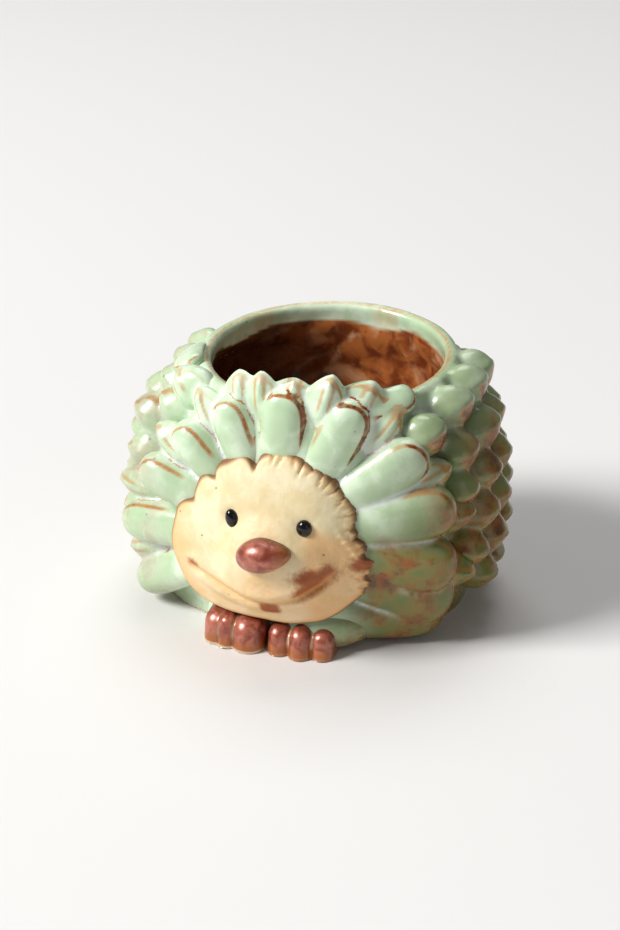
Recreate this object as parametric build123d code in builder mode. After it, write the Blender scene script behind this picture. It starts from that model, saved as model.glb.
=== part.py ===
from build123d import *

import os
from math import acos, atan2, cos, degrees, radians, sin, sqrt

# Small glazed planter in the shape of a hedgehog, in millimetres.
# +Z is up, the face looks towards -Y, and the origin is on the ground under the middle of the belly.

# Pot
pot_height = 73.0
belly_half_width = 48.5
belly_half_depth = 40.5
foot_half_width = 46.0
foot_half_depth = 33.5
foot_shift = -2.0
mouth_radius = 32.5
rim_wall = 4.0
mouth_shift = 3.0
wall = 4.0
floor_thickness = 5.0
rim_tilt = 3.5
rim_round = 1.5
mouth_bore_depth = 9.0
drain_radius = 5.0
rim_gap = 0.05
overrun = 10.0

# Where each level of the wall is, as a share of the height, and its shares of foot and mouth
wall_shares = (
    (0.00, 1.00, 0.00),
    (0.08, 0.72, 0.00),
    (0.20, 0.28, 0.00),
    (0.36, 0.00, 0.00),
    (0.54, 0.00, 0.04),
    (0.68, 0.00, 0.18),
    (0.80, 0.00, 0.44),
    (0.91, 0.00, 0.80),
    (1.00, 0.00, 1.00),
)

# Quills, set out in columns that run back from the face, every other column half a row on
ring_axis_height = 30.0
slots = 15
last_turn = 123.0
mane_top_fall = 50.0
mane_side_drop = 12.0
row_pitch = 11.5
last_side_fall = 117.0
rim_margin = 5.2
ground_margin = 8.5
ground_gap = 0.6
mouth_keep_out = 1.0
seat_gap = 0.15
seat_reach_share = 0.38

petal_length = 31.0
petal_width = 12.6
petal_root_width = 9.0
petal_widest_share = 0.68
petal_overhang = 2.0
petal_lift = 2.4
petal_gap = 0.3
petal_least_share = 0.1
petal_root_half_width = 20.0
petal_root_half_height = 17.0
petal_root_depth = 35.5

tip_length = 25.0
tip_width = 11.2
tip_keel = 1.2
tip_overhang = 2.5
tip_lift = 1.8
tip_top_drop = 7.0
tip_root_half_width = 24.0
tip_root_half_height = 20.0
tip_root_depth = 35.5

knob_length = 11.1
knob_width = 10.5
knob_keel = 1.0
knob_lean = 50.0
knob_lift = 6.4

# Back of the body, where the columns would crowd and level rows of knobs close it instead
back_row_height = 11.5
back_row_step = 10.0
back_row_count = 6
back_pitch = 10.9
back_side_gap = 10.2
back_half_turn = 85.0
back_search_turn = 1.0

# Face slab
face_half_width = 30.0
face_half_height = 25.0
face_height = 33.0
face_dome_radius = 58.0
face_front = 47.5
face_back = 24.0
face_outline_shares = (
    (0.01, 1.02),
    (-0.16, 0.93),
    (-0.38, 0.92),
    (-0.53, 0.76),
    (-0.78, 0.42),
    (-0.97, 0.15),
    (-1.02, -0.30),
    (-0.92, -0.73),
    (-0.69, -0.90),
    (-0.31, -0.94),
    (0.07, -0.97),
    (0.36, -0.93),
    (0.66, -0.80),
    (0.88, -0.56),
    (0.97, -0.20),
    (0.87, 0.14),
    (0.78, 0.48),
    (0.62, 0.74),
    (0.42, 0.91),
    (0.23, 0.99),
)
nick_place_share = 0.86
nick_radius = 0.7
nick_length = 4.5
nick_start_angle = -34.0
nick_end_angle = 62.0
nick_count = 10

muzzle_radius = 19.0
muzzle_height = 29.0
muzzle_reach = 52.0

smile_half_width = 20.5
smile_height = 16.8
smile_end_height = 24.0
smile_width = 1.3
smile_depth = 0.9

# Eyes and nose
eye_spacing = 20.0
eye_height = 40.0
eye_half_width = 1.9
eye_half_height = 2.4
eye_half_depth = 1.5
eye_sink = 0.3
socket_radius = 3.4
socket_depth = 0.8

nose_half_width = 8.0
nose_half_height = 5.2
nose_half_depth = 4.6
nose_height = 33.2
nose_reach = 51.0
nose_roll = 12.0

# Forelegs and toes
paw_left_place = -10.8
paw_right_place = 10.4
paw_front = 46.5
toe_count = 3
toe_pitch = 5.35
toe_half_width = 2.6
toe_half_depth = 5.0
toe_height = 9.0
toe_sink_share = 0.42
leg_half_width = 9.6
leg_half_depth = 9.0
leg_half_height = 8.2
leg_back = 11.5

os.makedirs("parts", exist_ok=True)


# Wall of the pot at a height
def between(low, high, share):
    return low + (high - low) * share


def wall_section(height):
    """Half width, half depth and sideways shift of the outside of the wall at a height."""
    level = height / pot_height
    foot, mouth = wall_shares[-1][1:]
    for low, high in zip(wall_shares, wall_shares[1:]):
        if low[0] <= level <= high[0]:
            share = (level - low[0]) / (high[0] - low[0])
            foot = between(low[1], high[1], share)
            mouth = between(low[2], high[2], share)
            break
    belly = 1 - foot - mouth
    mouth_outside = mouth_radius + rim_wall
    half_width = foot * foot_half_width + belly * belly_half_width + mouth * mouth_outside
    half_depth = foot * foot_half_depth + belly * belly_half_depth + mouth * mouth_outside
    return half_width, half_depth, foot * foot_shift + mouth * mouth_shift


# Pot, first as a filled form that the other parts are seated on
def wall_sections(inset, low, high):
    """Sections of the wall, each inset, from one height to another."""
    levels = [share[0] * pot_height for share in wall_shares]
    heights = [low] + [level for level in levels if low + wall < level < high - wall] + [high]
    sections = []
    for height in heights:
        half_width, half_depth, shift = wall_section(height)
        with BuildSketch(Plane.XY.offset(height)) as section:
            with Locations((shift, 0)):
                Ellipse(half_width - inset, half_depth - inset)
        sections.append(section.sketch)
    return sections


rim_plane = Plane(
    origin=(mouth_shift, 0, pot_height),
    z_dir=(0, -sin(radians(rim_tilt)), cos(radians(rim_tilt))),
)


def on_rim(face):
    """Whether a face lies in the plane of the rim."""
    return abs(rim_plane.to_local_coords(face.center()).Z) < rim_gap


with BuildPart() as wall_form:
    loft(wall_sections(0, 0, pot_height))
    with BuildSketch(Plane.XY.offset(pot_height)):
        with Locations((mouth_shift, 0)):
            Circle(mouth_radius + rim_wall)
    extrude(amount=overrun)

with BuildPart() as pot_core:
    add(wall_form.part)
    split(bisect_by=rim_plane, keep=Keep.BOTTOM)

with BuildPart() as pot_cavity:
    loft(wall_sections(wall, floor_thickness, pot_height - mouth_bore_depth))
    with BuildSketch(Plane.XY.offset(pot_height - mouth_bore_depth - wall)):
        with Locations((mouth_shift, 0)):
            Circle(mouth_radius)
    extrude(amount=mouth_bore_depth + wall + overrun)

with BuildPart() as pot_shell:
    add(pot_core.part)
    add(pot_cavity.part, mode=Mode.SUBTRACT)
    with Locations((0, 0, floor_thickness / 2)):
        Cylinder(drain_radius, 2 * floor_thickness, mode=Mode.SUBTRACT)
    fillet(pot_shell.faces().filter_by(on_rim).edges(), rim_round)
pot_shell.part.label = "pot_shell"
export_step(pot_shell.part, "parts/pot_shell.step")

# Space that nothing pressed on may enter: the pot, the way into its mouth, and the ground
with BuildPart() as keep_out:
    add(pot_core.part)
    with BuildSketch(Plane.XY.offset(pot_height / 2)):
        with Locations((mouth_shift, 0)):
            Circle(mouth_radius + mouth_keep_out)
    extrude(amount=pot_height)
    with Locations((0, 0, ground_gap)):
        Box(4 * pot_height, 4 * pot_height, pot_height, align=(Align.CENTER, Align.CENTER, Align.MAX))


# Face slab with its muzzle, eye sockets, smile line and tooled edge
def face_point(width_share, height_share):
    return (width_share * face_half_width, face_height + height_share * face_half_height)


dome_centre = (0, face_dome_radius - face_front, ring_axis_height)
muzzle_centre = (0, muzzle_radius - muzzle_reach, muzzle_height)


def dome_depth(across, height):
    """How far forward the slab's dome stands at a place."""
    reach = sqrt(face_dome_radius**2 - across**2 - (height - dome_centre[2]) ** 2)
    return reach - dome_centre[1]


with BuildPart() as face_form:
    with BuildSketch(Plane.XZ.offset(face_back)):
        with BuildLine():
            Spline([face_point(*shares) for shares in face_outline_shares], periodic=True)
        make_face()
    extrude(amount=face_front)
    with Locations(dome_centre):
        Sphere(face_dome_radius, mode=Mode.INTERSECT)
    with Locations(muzzle_centre):
        Sphere(muzzle_radius)

with BuildPart() as smile_cutter:
    with BuildSketch(Plane.XZ.offset(face_back)):
        with BuildLine():
            ThreePointArc(
                (-smile_half_width, smile_end_height),
                (0, smile_height),
                (smile_half_width, smile_end_height),
            )
        trace(line_width=smile_width)
    extrude(amount=face_front)
    with Locations(dome_centre):
        Sphere(face_dome_radius - smile_depth, mode=Mode.SUBTRACT)
    with Locations(muzzle_centre):
        Sphere(muzzle_radius - smile_depth, mode=Mode.SUBTRACT)

with BuildPart() as face_mask:
    add(face_form.part)
    for side in (-1, 1):
        eye_front = dome_depth(eye_spacing / 2, eye_height)
        with Locations((side * eye_spacing / 2, -eye_front - socket_radius + socket_depth, eye_height)):
            Sphere(socket_radius, mode=Mode.SUBTRACT)
    add(smile_cutter.part, mode=Mode.SUBTRACT)
    for nick in range(nick_count):
        angle = between(nick_start_angle, nick_end_angle, nick / (nick_count - 1))
        across, height = face_point(
            nick_place_share * sin(radians(angle)),
            nick_place_share * cos(radians(angle)),
        )
        with Locations(Location((across, -dome_depth(across, height), height), (0, angle, 0))):
            Cylinder(nick_radius, nick_length, mode=Mode.SUBTRACT)
    add(pot_core.part, mode=Mode.SUBTRACT)
face_mask.part.label = "face_mask"
export_step(face_mask.part, "parts/face_mask.step")


# Eyes and nose, seated on the slab
def ellipsoid(half_width, half_depth, half_height):
    with BuildPart() as rounded:
        Sphere(1)
        scale(by=(half_width, half_depth, half_height))
    return rounded.part


eye_form = ellipsoid(eye_half_width, eye_half_depth, eye_half_height)
for name, side in (("eye_left", -1), ("eye_right", 1)):
    socket_floor = dome_depth(eye_spacing / 2, eye_height) - socket_depth
    with BuildPart() as eye:
        with Locations((side * eye_spacing / 2, -socket_floor - eye_half_depth + eye_sink, eye_height)):
            add(eye_form)
        add(face_mask.part, mode=Mode.SUBTRACT)
    eye.part.label = name
    export_step(eye.part, "parts/" + name + ".step")

with BuildPart() as nose:
    with Locations(Location((0, -nose_reach, nose_height), (0, nose_roll, 0))):
        add(ellipsoid(nose_half_width, nose_half_depth, nose_half_height))
    add(face_mask.part, mode=Mode.SUBTRACT)
nose.part.label = "nose"
export_step(nose.part, "parts/nose.step")

# Forelegs under the chin, each with three toes in front
toe_form = ellipsoid(toe_half_width, toe_half_depth, toe_height / 2)
leg_form = ellipsoid(leg_half_width, leg_half_depth, leg_half_height)
for name, place in (("left", paw_left_place), ("right", paw_right_place)):
    with BuildPart() as toes:
        for toe in range(toe_count):
            across = place + (toe - (toe_count - 1) / 2) * toe_pitch
            with Locations((across, toe_half_depth - paw_front, toe_height * toe_sink_share)):
                add(toe_form)
        split(bisect_by=Plane.XY, keep=Keep.TOP)
        add(face_mask.part, mode=Mode.SUBTRACT)
    toes.part.label = "toes_" + name
    export_step(toes.part, "parts/toes_" + name + ".step")

    with BuildPart() as foreleg:
        with Locations((place, leg_back - paw_front + toe_half_depth / 2, 0)):
            add(leg_form)
        split(bisect_by=Plane.XY, keep=Keep.TOP)
        add(toes.part, mode=Mode.SUBTRACT)
        add(face_mask.part, mode=Mode.SUBTRACT)
        add(pot_core.part, mode=Mode.SUBTRACT)
    foreleg.part.label = "foreleg_" + name
    export_step(foreleg.part, "parts/foreleg_" + name + ".step")


# Seats of the quills on the wall
ring_centre = Vector(0, 0, ring_axis_height)
wall_faces = wall_form.faces().filter_by(GeomType.PLANE, reverse=True)


def outward_way(turn, fall):
    """Direction out of the ring centre: turn from straight up, fall from the face axis."""
    level = sin(radians(fall))
    return Vector(level * sin(radians(turn)), -cos(radians(fall)), level * cos(radians(turn)))


def wall_hit(turn, fall):
    """Point of the wall in such a direction, and its outward direction there."""
    way = outward_way(turn, fall)
    for face in wall_faces:
        for point, normal in face.find_intersection_points(Axis(ring_centre, way)):
            if (point - ring_centre).dot(way) > 0:
                return point, normal
    return None


def rough_hit(way):
    """Point of the wall in a direction from its sections alone, close enough to judge the room there."""
    low, high = 0, 2 * pot_height
    while high - low > rim_gap:
        reach = (low + high) / 2
        point = ring_centre + way * reach
        half_width, half_depth, shift = wall_section(min(max(point.Z, 0), pot_height))
        if ((point.X - shift) / half_width) ** 2 + (point.Y / half_depth) ** 2 < 1:
            low = reach
        else:
            high = reach
    return ring_centre + way * low


def seat_plane(turn, fall):
    """Plane on the wall with Z out of it and X running back, away from the face."""
    hit = wall_hit(turn, fall)
    if hit is None:
        return None
    point, normal = hit
    back = Vector(
        cos(radians(fall)) * sin(radians(turn)),
        sin(radians(fall)),
        cos(radians(fall)) * cos(radians(turn)),
    )
    back = back - normal * back.dot(normal)
    return Plane(origin=point, x_dir=back, z_dir=normal)


def back_place(point):
    """Turn and fall of a point of the wall."""
    way = (point - ring_centre).normalized()
    return degrees(atan2(way.X, way.Z)), degrees(acos(-way.Y))


def knob_plane(turn, fall, upright=False):
    """Seat plane, raised until the wall nowhere rises through it under a knob."""
    plane = seat_plane(turn, fall)
    if upright:
        uphill = Vector(0, 0, 1) - plane.z_dir * plane.z_dir.Z
        plane = Plane(origin=plane.origin, x_dir=uphill, z_dir=plane.z_dir)
    reach = knob_width * seat_reach_share
    rise = 0
    for along, across in ((-2, 0), (-1, -1), (-1, 1), (-1, 0), (0, -1), (0, 1), (1, 0)):
        way = (plane.from_local_coords((along * reach, across * reach, 0)) - ring_centre).normalized()
        rise = max(rise, plane.to_local_coords(rough_hit(way)).Z)
    return plane.offset(rise)


def below_rim(point):
    """How far a point lies below the plane of the rim."""
    return -rim_plane.to_local_coords(point).Z


def knob_fits(turn, fall):
    """Whether a knob stands clear of the rim and the ground."""
    point = rough_hit(outward_way(turn, fall))
    return below_rim(point) > rim_margin and point.Z > ground_margin


def mane_fall(turn):
    """Where the tips of the mane lie: the ring leans back from top to bottom."""
    return mane_top_fall + mane_side_drop * (1 - cos(radians(turn)))


def fanned_plane(turn, fall, length, lift, half_width, half_height, depth):
    """Plane of a quill that fans out from under the slab, X along it, ahead of its place on the wall."""
    seat = seat_plane(turn, fall)
    top = seat.origin + seat.z_dir * lift
    root = Vector(half_width * sin(radians(turn)), -depth, face_height + half_height * cos(radians(turn)))
    way = (top - root).normalized()
    outward = seat.z_dir - way * seat.z_dir.dot(way)
    return Plane(origin=top - way * length, x_dir=way, z_dir=outward)


# Quill forms
with BuildPart() as petal_form:
    with BuildSketch(Plane.XY):
        with BuildLine():
            widest = (petal_length * petal_widest_share, petal_width / 2)
            root_edge = Line((0, 0), (0, petal_root_width / 2))
            flank = TangentArc(widest, root_edge @ 1, tangent=(-1, 0))
            EllipticalCenterArc((widest[0], 0), petal_length - widest[0], widest[1])
            Line((petal_length, 0), (0, 0))
        make_face()
    revolve(axis=Axis.X)


def keeled_form(length, width, keel):
    """Two spindles side by side share a lens with a soft keel along its top, from its root along X."""
    with BuildPart() as form:
        for side, mode in ((-1, Mode.ADD), (1, Mode.INTERSECT)):
            with BuildPart(mode=Mode.PRIVATE) as spindle:
                with BuildSketch(Plane.XY):
                    with BuildLine():
                        ThreePointArc((0, 0), (length / 2, width / 2 + keel), (length, 0))
                        Line((length, 0), (0, 0))
                    make_face()
                revolve(axis=Axis.X)
            with Locations((0, side * keel, 0)):
                add(spindle.part, mode=mode)
    return form.part


tip_form = keeled_form(tip_length, tip_width, tip_keel)
knob_root = (-knob_length * cos(radians(knob_lean)), 0, knob_lift - knob_length * sin(radians(knob_lean)))
with BuildPart() as knob_form:
    with Locations(Location(knob_root, (0, -knob_lean, 0))):
        add(keeled_form(knob_length, knob_width, knob_keel))
    split(bisect_by=Plane.XY.offset(seat_gap), keep=Keep.TOP)


def export_row(name, part):
    part.label = name
    export_step(part, "parts/" + name + ".step")


def column_turns(stagger):
    """Turns from straight up of every other column."""
    slot = 360 / slots
    turns = [(index + stagger / 2) * slot for index in range(-slots, slots)]
    return [turn for turn in turns if abs(turn) < last_turn]


# Mane, fanned out from under the slab
petal_planes = [
    fanned_plane(turn, mane_fall(turn), petal_length - petal_overhang, petal_lift, petal_root_half_width,
                 petal_root_half_height, petal_root_depth)
    for turn in column_turns(0)
]
petal_gaps = [Location((0, 0, ring_axis_height), (0, turn, 0)) for turn in column_turns(1)]
with BuildPart() as petals_cut:
    with Locations(*petal_planes):
        add(petal_form.part)
    with Locations(*petal_gaps):
        Box(
            petal_gap,
            2 * pot_height,
            pot_height,
            align=(Align.CENTER, Align.CENTER, Align.MIN),
            mode=Mode.SUBTRACT,
        )
    add(keep_out.part, mode=Mode.SUBTRACT)
    add(face_mask.part, mode=Mode.SUBTRACT)
petal_least_volume = petal_form.part.volume * petal_least_share
with BuildPart() as mane_petals:
    add(petals_cut.solids().filter_by(lambda solid: solid.volume > petal_least_volume))
export_row("mane_petals", mane_petals.part)


def half_row(turn):
    """Turn of the rings by half a row on the wall."""
    return row_angle(turn, mane_fall(turn)) / 2


def row_angle(turn, fall):
    """Angle that one row takes up on the wall."""
    return degrees(row_pitch / (rough_hit(outward_way(turn, fall)) - ring_centre).length)


def tip_fall(turn):
    """Where the points between the petals end: lower at the mouth, where they stand free."""
    return mane_fall(turn) + half_row(turn) - tip_top_drop * max(cos(radians(turn)), 0) ** 4


tip_planes = [
    fanned_plane(turn, tip_fall(turn), tip_length - tip_overhang, tip_lift, tip_root_half_width,
                 tip_root_half_height, tip_root_depth)
    for turn in column_turns(1)
]
with BuildPart() as mane_tips:
    with Locations(*tip_planes):
        add(tip_form)
    add(keep_out.part, mode=Mode.SUBTRACT)
    add(face_mask.part, mode=Mode.SUBTRACT)
    add(mane_petals.part, mode=Mode.SUBTRACT)
export_row("mane_tips", mane_tips.part)

# Knobs down each column, at an even pitch along the wall
knob_rows = {}
for stagger in (0, 1):
    for turn in column_turns(stagger):
        fall = mane_fall(turn) + stagger * half_row(turn)
        number = 1 + stagger
        while fall < last_side_fall:
            fall += row_angle(turn, fall)
            number += 2
            if knob_fits(turn, fall) and fall < last_side_fall:
                knob_rows.setdefault(number // 2, []).append((turn, fall))

# Level rows of knobs that close the back, spread evenly over the room that the columns leave
side_seats = [rough_hit(outward_way(*place)) for places in knob_rows.values() for place in places]
first_back_row = max(knob_rows) + 1


def back_point(height, turn):
    """Point of the wall at a height, at a turn from straight back."""
    half_width, half_depth, shift = wall_section(height)
    return Vector(shift + half_width * sin(radians(turn)), half_depth * cos(radians(turn)), height)


def back_end(height, side):
    """Turn at which a level row meets the columns of one side."""
    turn = 0
    while turn < back_half_turn:
        point = back_point(height, side * turn)
        if any((point - seat).length < back_side_gap for seat in side_seats):
            break
        turn += back_search_turn
    return side * turn


for row in range(back_row_count):
    height = back_row_height + row * back_row_step
    low, high = back_end(height, -1), back_end(height, 1)
    count = int(radians(high - low) * wall_section(height)[1] / back_pitch)
    for index in range(count + 1):
        place = back_place(back_point(height, between(low, high, index / count)))
        knob_rows.setdefault(first_back_row + row // 2, []).append(place)

for number, places in sorted(knob_rows.items()):
    knob_seats = [knob_plane(turn, fall, number >= first_back_row) for turn, fall in places]
    with BuildPart() as knob_row:
        with Locations(*knob_seats):
            add(knob_form.part)
    export_row(f"quill_row_{number}", knob_row.part)
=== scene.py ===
"""Glazed hedgehog planter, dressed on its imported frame.

Quill forms are drawn once, set out on the pot's wall and run together under one glaze. The face is a slab
pressed on by hand, with its nose, eyes and toes as pieces of their own. Fields and tables hold millimetres
and degrees, and meshes and vectors are in metres.
"""

import logging
import math
import random
from dataclasses import dataclass, field
from enum import Enum
from functools import cache
from typing import Callable, Iterable, NamedTuple, Optional, Sequence

import bpy
import numpy as np
from mathutils import Matrix, Vector


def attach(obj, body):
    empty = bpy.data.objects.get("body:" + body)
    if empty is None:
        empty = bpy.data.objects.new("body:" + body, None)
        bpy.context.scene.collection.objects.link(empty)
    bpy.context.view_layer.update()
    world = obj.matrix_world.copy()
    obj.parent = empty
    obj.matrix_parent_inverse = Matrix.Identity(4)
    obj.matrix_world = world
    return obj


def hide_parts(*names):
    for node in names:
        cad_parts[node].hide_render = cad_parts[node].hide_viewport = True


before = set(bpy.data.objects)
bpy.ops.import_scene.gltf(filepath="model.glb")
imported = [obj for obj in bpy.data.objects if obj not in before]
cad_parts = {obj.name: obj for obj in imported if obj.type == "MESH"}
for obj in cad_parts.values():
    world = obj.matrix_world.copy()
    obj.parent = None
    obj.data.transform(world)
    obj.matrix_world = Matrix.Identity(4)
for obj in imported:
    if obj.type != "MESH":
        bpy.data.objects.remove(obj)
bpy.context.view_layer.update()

logging.basicConfig(level=logging.INFO, format="%(message)s")
LOG = logging.getLogger("planter")

MM = 0.001
FAR = 1e9
BODY = "root"
Colour = tuple[float, float, float, float]
Place = tuple[float, float, float]
Triple = tuple[float, float, float]
Span = tuple[float, float]
Band = tuple[float, float, float, float]
Waves = tuple[tuple[float, ...], ...]
Socket = bpy.types.NodeSocket


class Slot(Enum):
    """Material slots of the record."""

    CELADON = "celadon_glaze"
    FACE = "bare_face"
    BROWN = "brown_glaze"
    BLACK = "black_glaze"


class QuillKind(Enum):
    """Forms that a quill can have."""

    PETAL = "petal"
    TIP = "tip"
    KNOB = "knob"


# Modelling

class Bench:
    """Modelling steps that every piece shares."""

    @staticmethod
    def clear() -> None:
        """Leaves edit mode with nothing selected."""
        if bpy.context.mode != "OBJECT":
            bpy.ops.object.mode_set(mode="OBJECT")
        bpy.ops.object.select_all(action="DESELECT")

    @staticmethod
    def pick(obj: bpy.types.Object) -> None:
        """Makes one object the selected and active one.

        Args:
            obj: the object to work on.
        """
        Bench.clear()
        obj.select_set(True)
        bpy.context.view_layer.objects.active = obj

    @staticmethod
    def choose(obj: bpy.types.Object, test: Optional[Callable[[Vector], bool]] = None) -> None:
        """Goes into edit mode with corners of a mesh selected.

        Args:
            obj: the object to work on.
            test: says of the place of a corner whether it is selected. Without it, all are.
        """
        Bench.pick(obj)
        if test is not None:
            mesh = obj.data
            mesh.polygons.foreach_set("select", [False] * len(mesh.polygons))
            mesh.edges.foreach_set("select", [False] * len(mesh.edges))
            mesh.vertices.foreach_set("select", [test(vertex.co) for vertex in mesh.vertices])
        bpy.ops.object.mode_set(mode="EDIT")
        bpy.ops.mesh.select_mode(type="VERT")
        if test is None:
            bpy.ops.mesh.select_all(action="SELECT")

    @staticmethod
    def added(name: str) -> bpy.types.Object:
        """Names the object that was just added, and gives it."""
        bpy.context.object.name = name
        return bpy.context.object

    @staticmethod
    def face_outward(obj: bpy.types.Object) -> None:
        """Turns the faces of a closed mesh outward.

        Args:
            obj: the object that owns the mesh.
        """
        Bench.choose(obj)
        bpy.ops.mesh.normals_make_consistent(inside=False)
        Bench.clear()

    @staticmethod
    def modify(obj: bpy.types.Object, kind: str, **settings: object) -> None:
        """Adds a modifier with its settings and applies it.

        Args:
            obj: the object to change.
            kind: Blender's name for the modifier.
            **settings: values for the modifier's own fields.
        """
        Bench.pick(obj)
        modifier = obj.modifiers.new(kind.title(), kind)
        for key, value in settings.items():
            setattr(modifier, key, value)
        bpy.ops.object.modifier_apply(modifier=modifier.name)

    @staticmethod
    def draw_form(name: str, stations: Sequence[Triple], segments: int) -> bpy.types.Object:
        """Draws a closed form out along X, one extruded and resized ring per station.

        Args:
            name: name of the new object.
            stations: place along X, half width and half height of each ring, in metres.
            segments: corners in a ring.

        Returns:
            The new object, closed at both ends.
        """
        Bench.clear()
        along, width, height = stations[0]
        bpy.ops.mesh.primitive_circle_add(
            vertices=segments, radius=1.0, fill_type="NGON", location=(along, 0, 0),
            rotation=(0, math.pi / 2, 0),
        )
        form = Bench.added(name)
        bpy.ops.object.transform_apply(location=True, rotation=True, scale=True)
        Bench.choose(form)
        bpy.ops.transform.resize(value=(1, width, height), center_override=(along, 0, 0))
        for place, wide, high in stations[1:]:
            bpy.ops.mesh.extrude_region_move(TRANSFORM_OT_translate={"value": (place - along, 0, 0)})
            bpy.ops.transform.resize(value=(1, wide / width, high / height), center_override=(place, 0, 0))
            along, width, height = place, wide, high
        Bench.face_outward(form)
        return form

    @staticmethod
    def place_copy(template: bpy.types.Object, matrix: Matrix, name: str) -> bpy.types.Object:
        """Copies a form with a mesh of its own to a place.

        Args:
            template: the form to copy.
            matrix: the place, turn and size of the copy.
            name: name of the copy.

        Returns:
            The copy, with its place in its mesh.
        """
        copy = template.copy()
        copy.data = template.data.copy()
        copy.data.transform(matrix)
        copy.name = name
        bpy.context.scene.collection.objects.link(copy)
        return copy

    @staticmethod
    def join(name: str, objects: Sequence[bpy.types.Object]) -> bpy.types.Object:
        """Joins objects into the first of them.

        Args:
            name: name of the joined object.
            objects: the objects, which are used up.

        Returns:
            The joined object.
        """
        Bench.pick(objects[0])
        for obj in objects[1:]:
            obj.select_set(True)
        bpy.ops.object.join()
        joined = Bench.added(name)
        joined.data.name = name
        return joined

    @staticmethod
    def merged_node(node: str, name: str) -> bpy.types.Object:
        """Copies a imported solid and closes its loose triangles.

        Args:
            node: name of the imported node.
            name: name of the copy.

        Returns:
            The copy, a closed mesh.
        """
        copy = Bench.place_copy(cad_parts[node], Matrix.Identity(4), name)
        copy.parent = None
        for key in list(copy.keys()):
            del copy[key]
        copy.data.materials.clear()
        Bench.choose(copy)
        bpy.ops.mesh.remove_doubles(threshold=0.01 * MM)
        Bench.clear()
        return copy

    @staticmethod
    def run_together(obj: bpy.types.Object, grain: float, passes: int) -> None:
        """Unites closed forms in a skin with faces of a grain in millimetres, softened as glaze does."""
        Bench.modify(obj, "REMESH", mode="VOXEL", voxel_size=grain * MM)
        Bench.modify(obj, "SMOOTH", factor=0.5, iterations=passes)

    @staticmethod
    def finish_piece(
        obj: bpy.types.Object, slot: Slot, material: bpy.types.Material, nodes: Sequence[str],
        angle: float = 80.0,
    ) -> None:
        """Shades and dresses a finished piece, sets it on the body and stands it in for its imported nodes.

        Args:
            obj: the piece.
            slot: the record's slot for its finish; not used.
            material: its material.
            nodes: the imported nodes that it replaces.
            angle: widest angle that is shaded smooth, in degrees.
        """
        Bench.pick(obj)
        bpy.ops.object.shade_smooth_by_angle(angle=math.radians(angle))
        Bench.clear()
        obj.data.materials.clear()
        obj.data.materials.append(material)
        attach(obj, BODY)
        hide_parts(*nodes)
        obj.data.calc_loop_triangles()
        LOG.info("%s: %d triangles, for %s", obj.name, len(obj.data.loop_triangles), ", ".join(nodes))


# Measures

def ramp(values: np.ndarray, low: float, high: float) -> np.ndarray:
    """Soft step of values from 0 at low to 1 at high."""
    share = np.clip((values - low) / (high - low), 0, 1)
    return share * share * (3 - 2 * share)


def band(values: np.ndarray, start: float, full: float, last: float, end: float) -> np.ndarray:
    """Soft rise from start to full and soft fall from last to end."""
    return ramp(values, start, full) * ramp(values, end, last)


def bell(away: np.ndarray, half_width: float) -> np.ndarray:
    """Soft bump of 1 at zero that is nearly over at twice its half width."""
    return np.exp(-(away / half_width) ** 2)


def waves(table: Waves, *measures: np.ndarray) -> np.ndarray:
    """Sum of sine waves over one or more measures.

    Args:
        table: each wave's height, phase and pace along each of the measures.
        *measures: what the waves run along.

    Returns:
        The sum.
    """
    total = np.zeros(measures[0].shape)
    for height, phase, *paces in table:
        run = sum(pace * measure for pace, measure in zip(paces, measures))
        total += height * np.sin(run + phase)
    return total


def metres(place: Sequence[float]) -> Vector:
    """Place as a vector in metres, from millimetres."""
    return Vector(place) * MM


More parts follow.
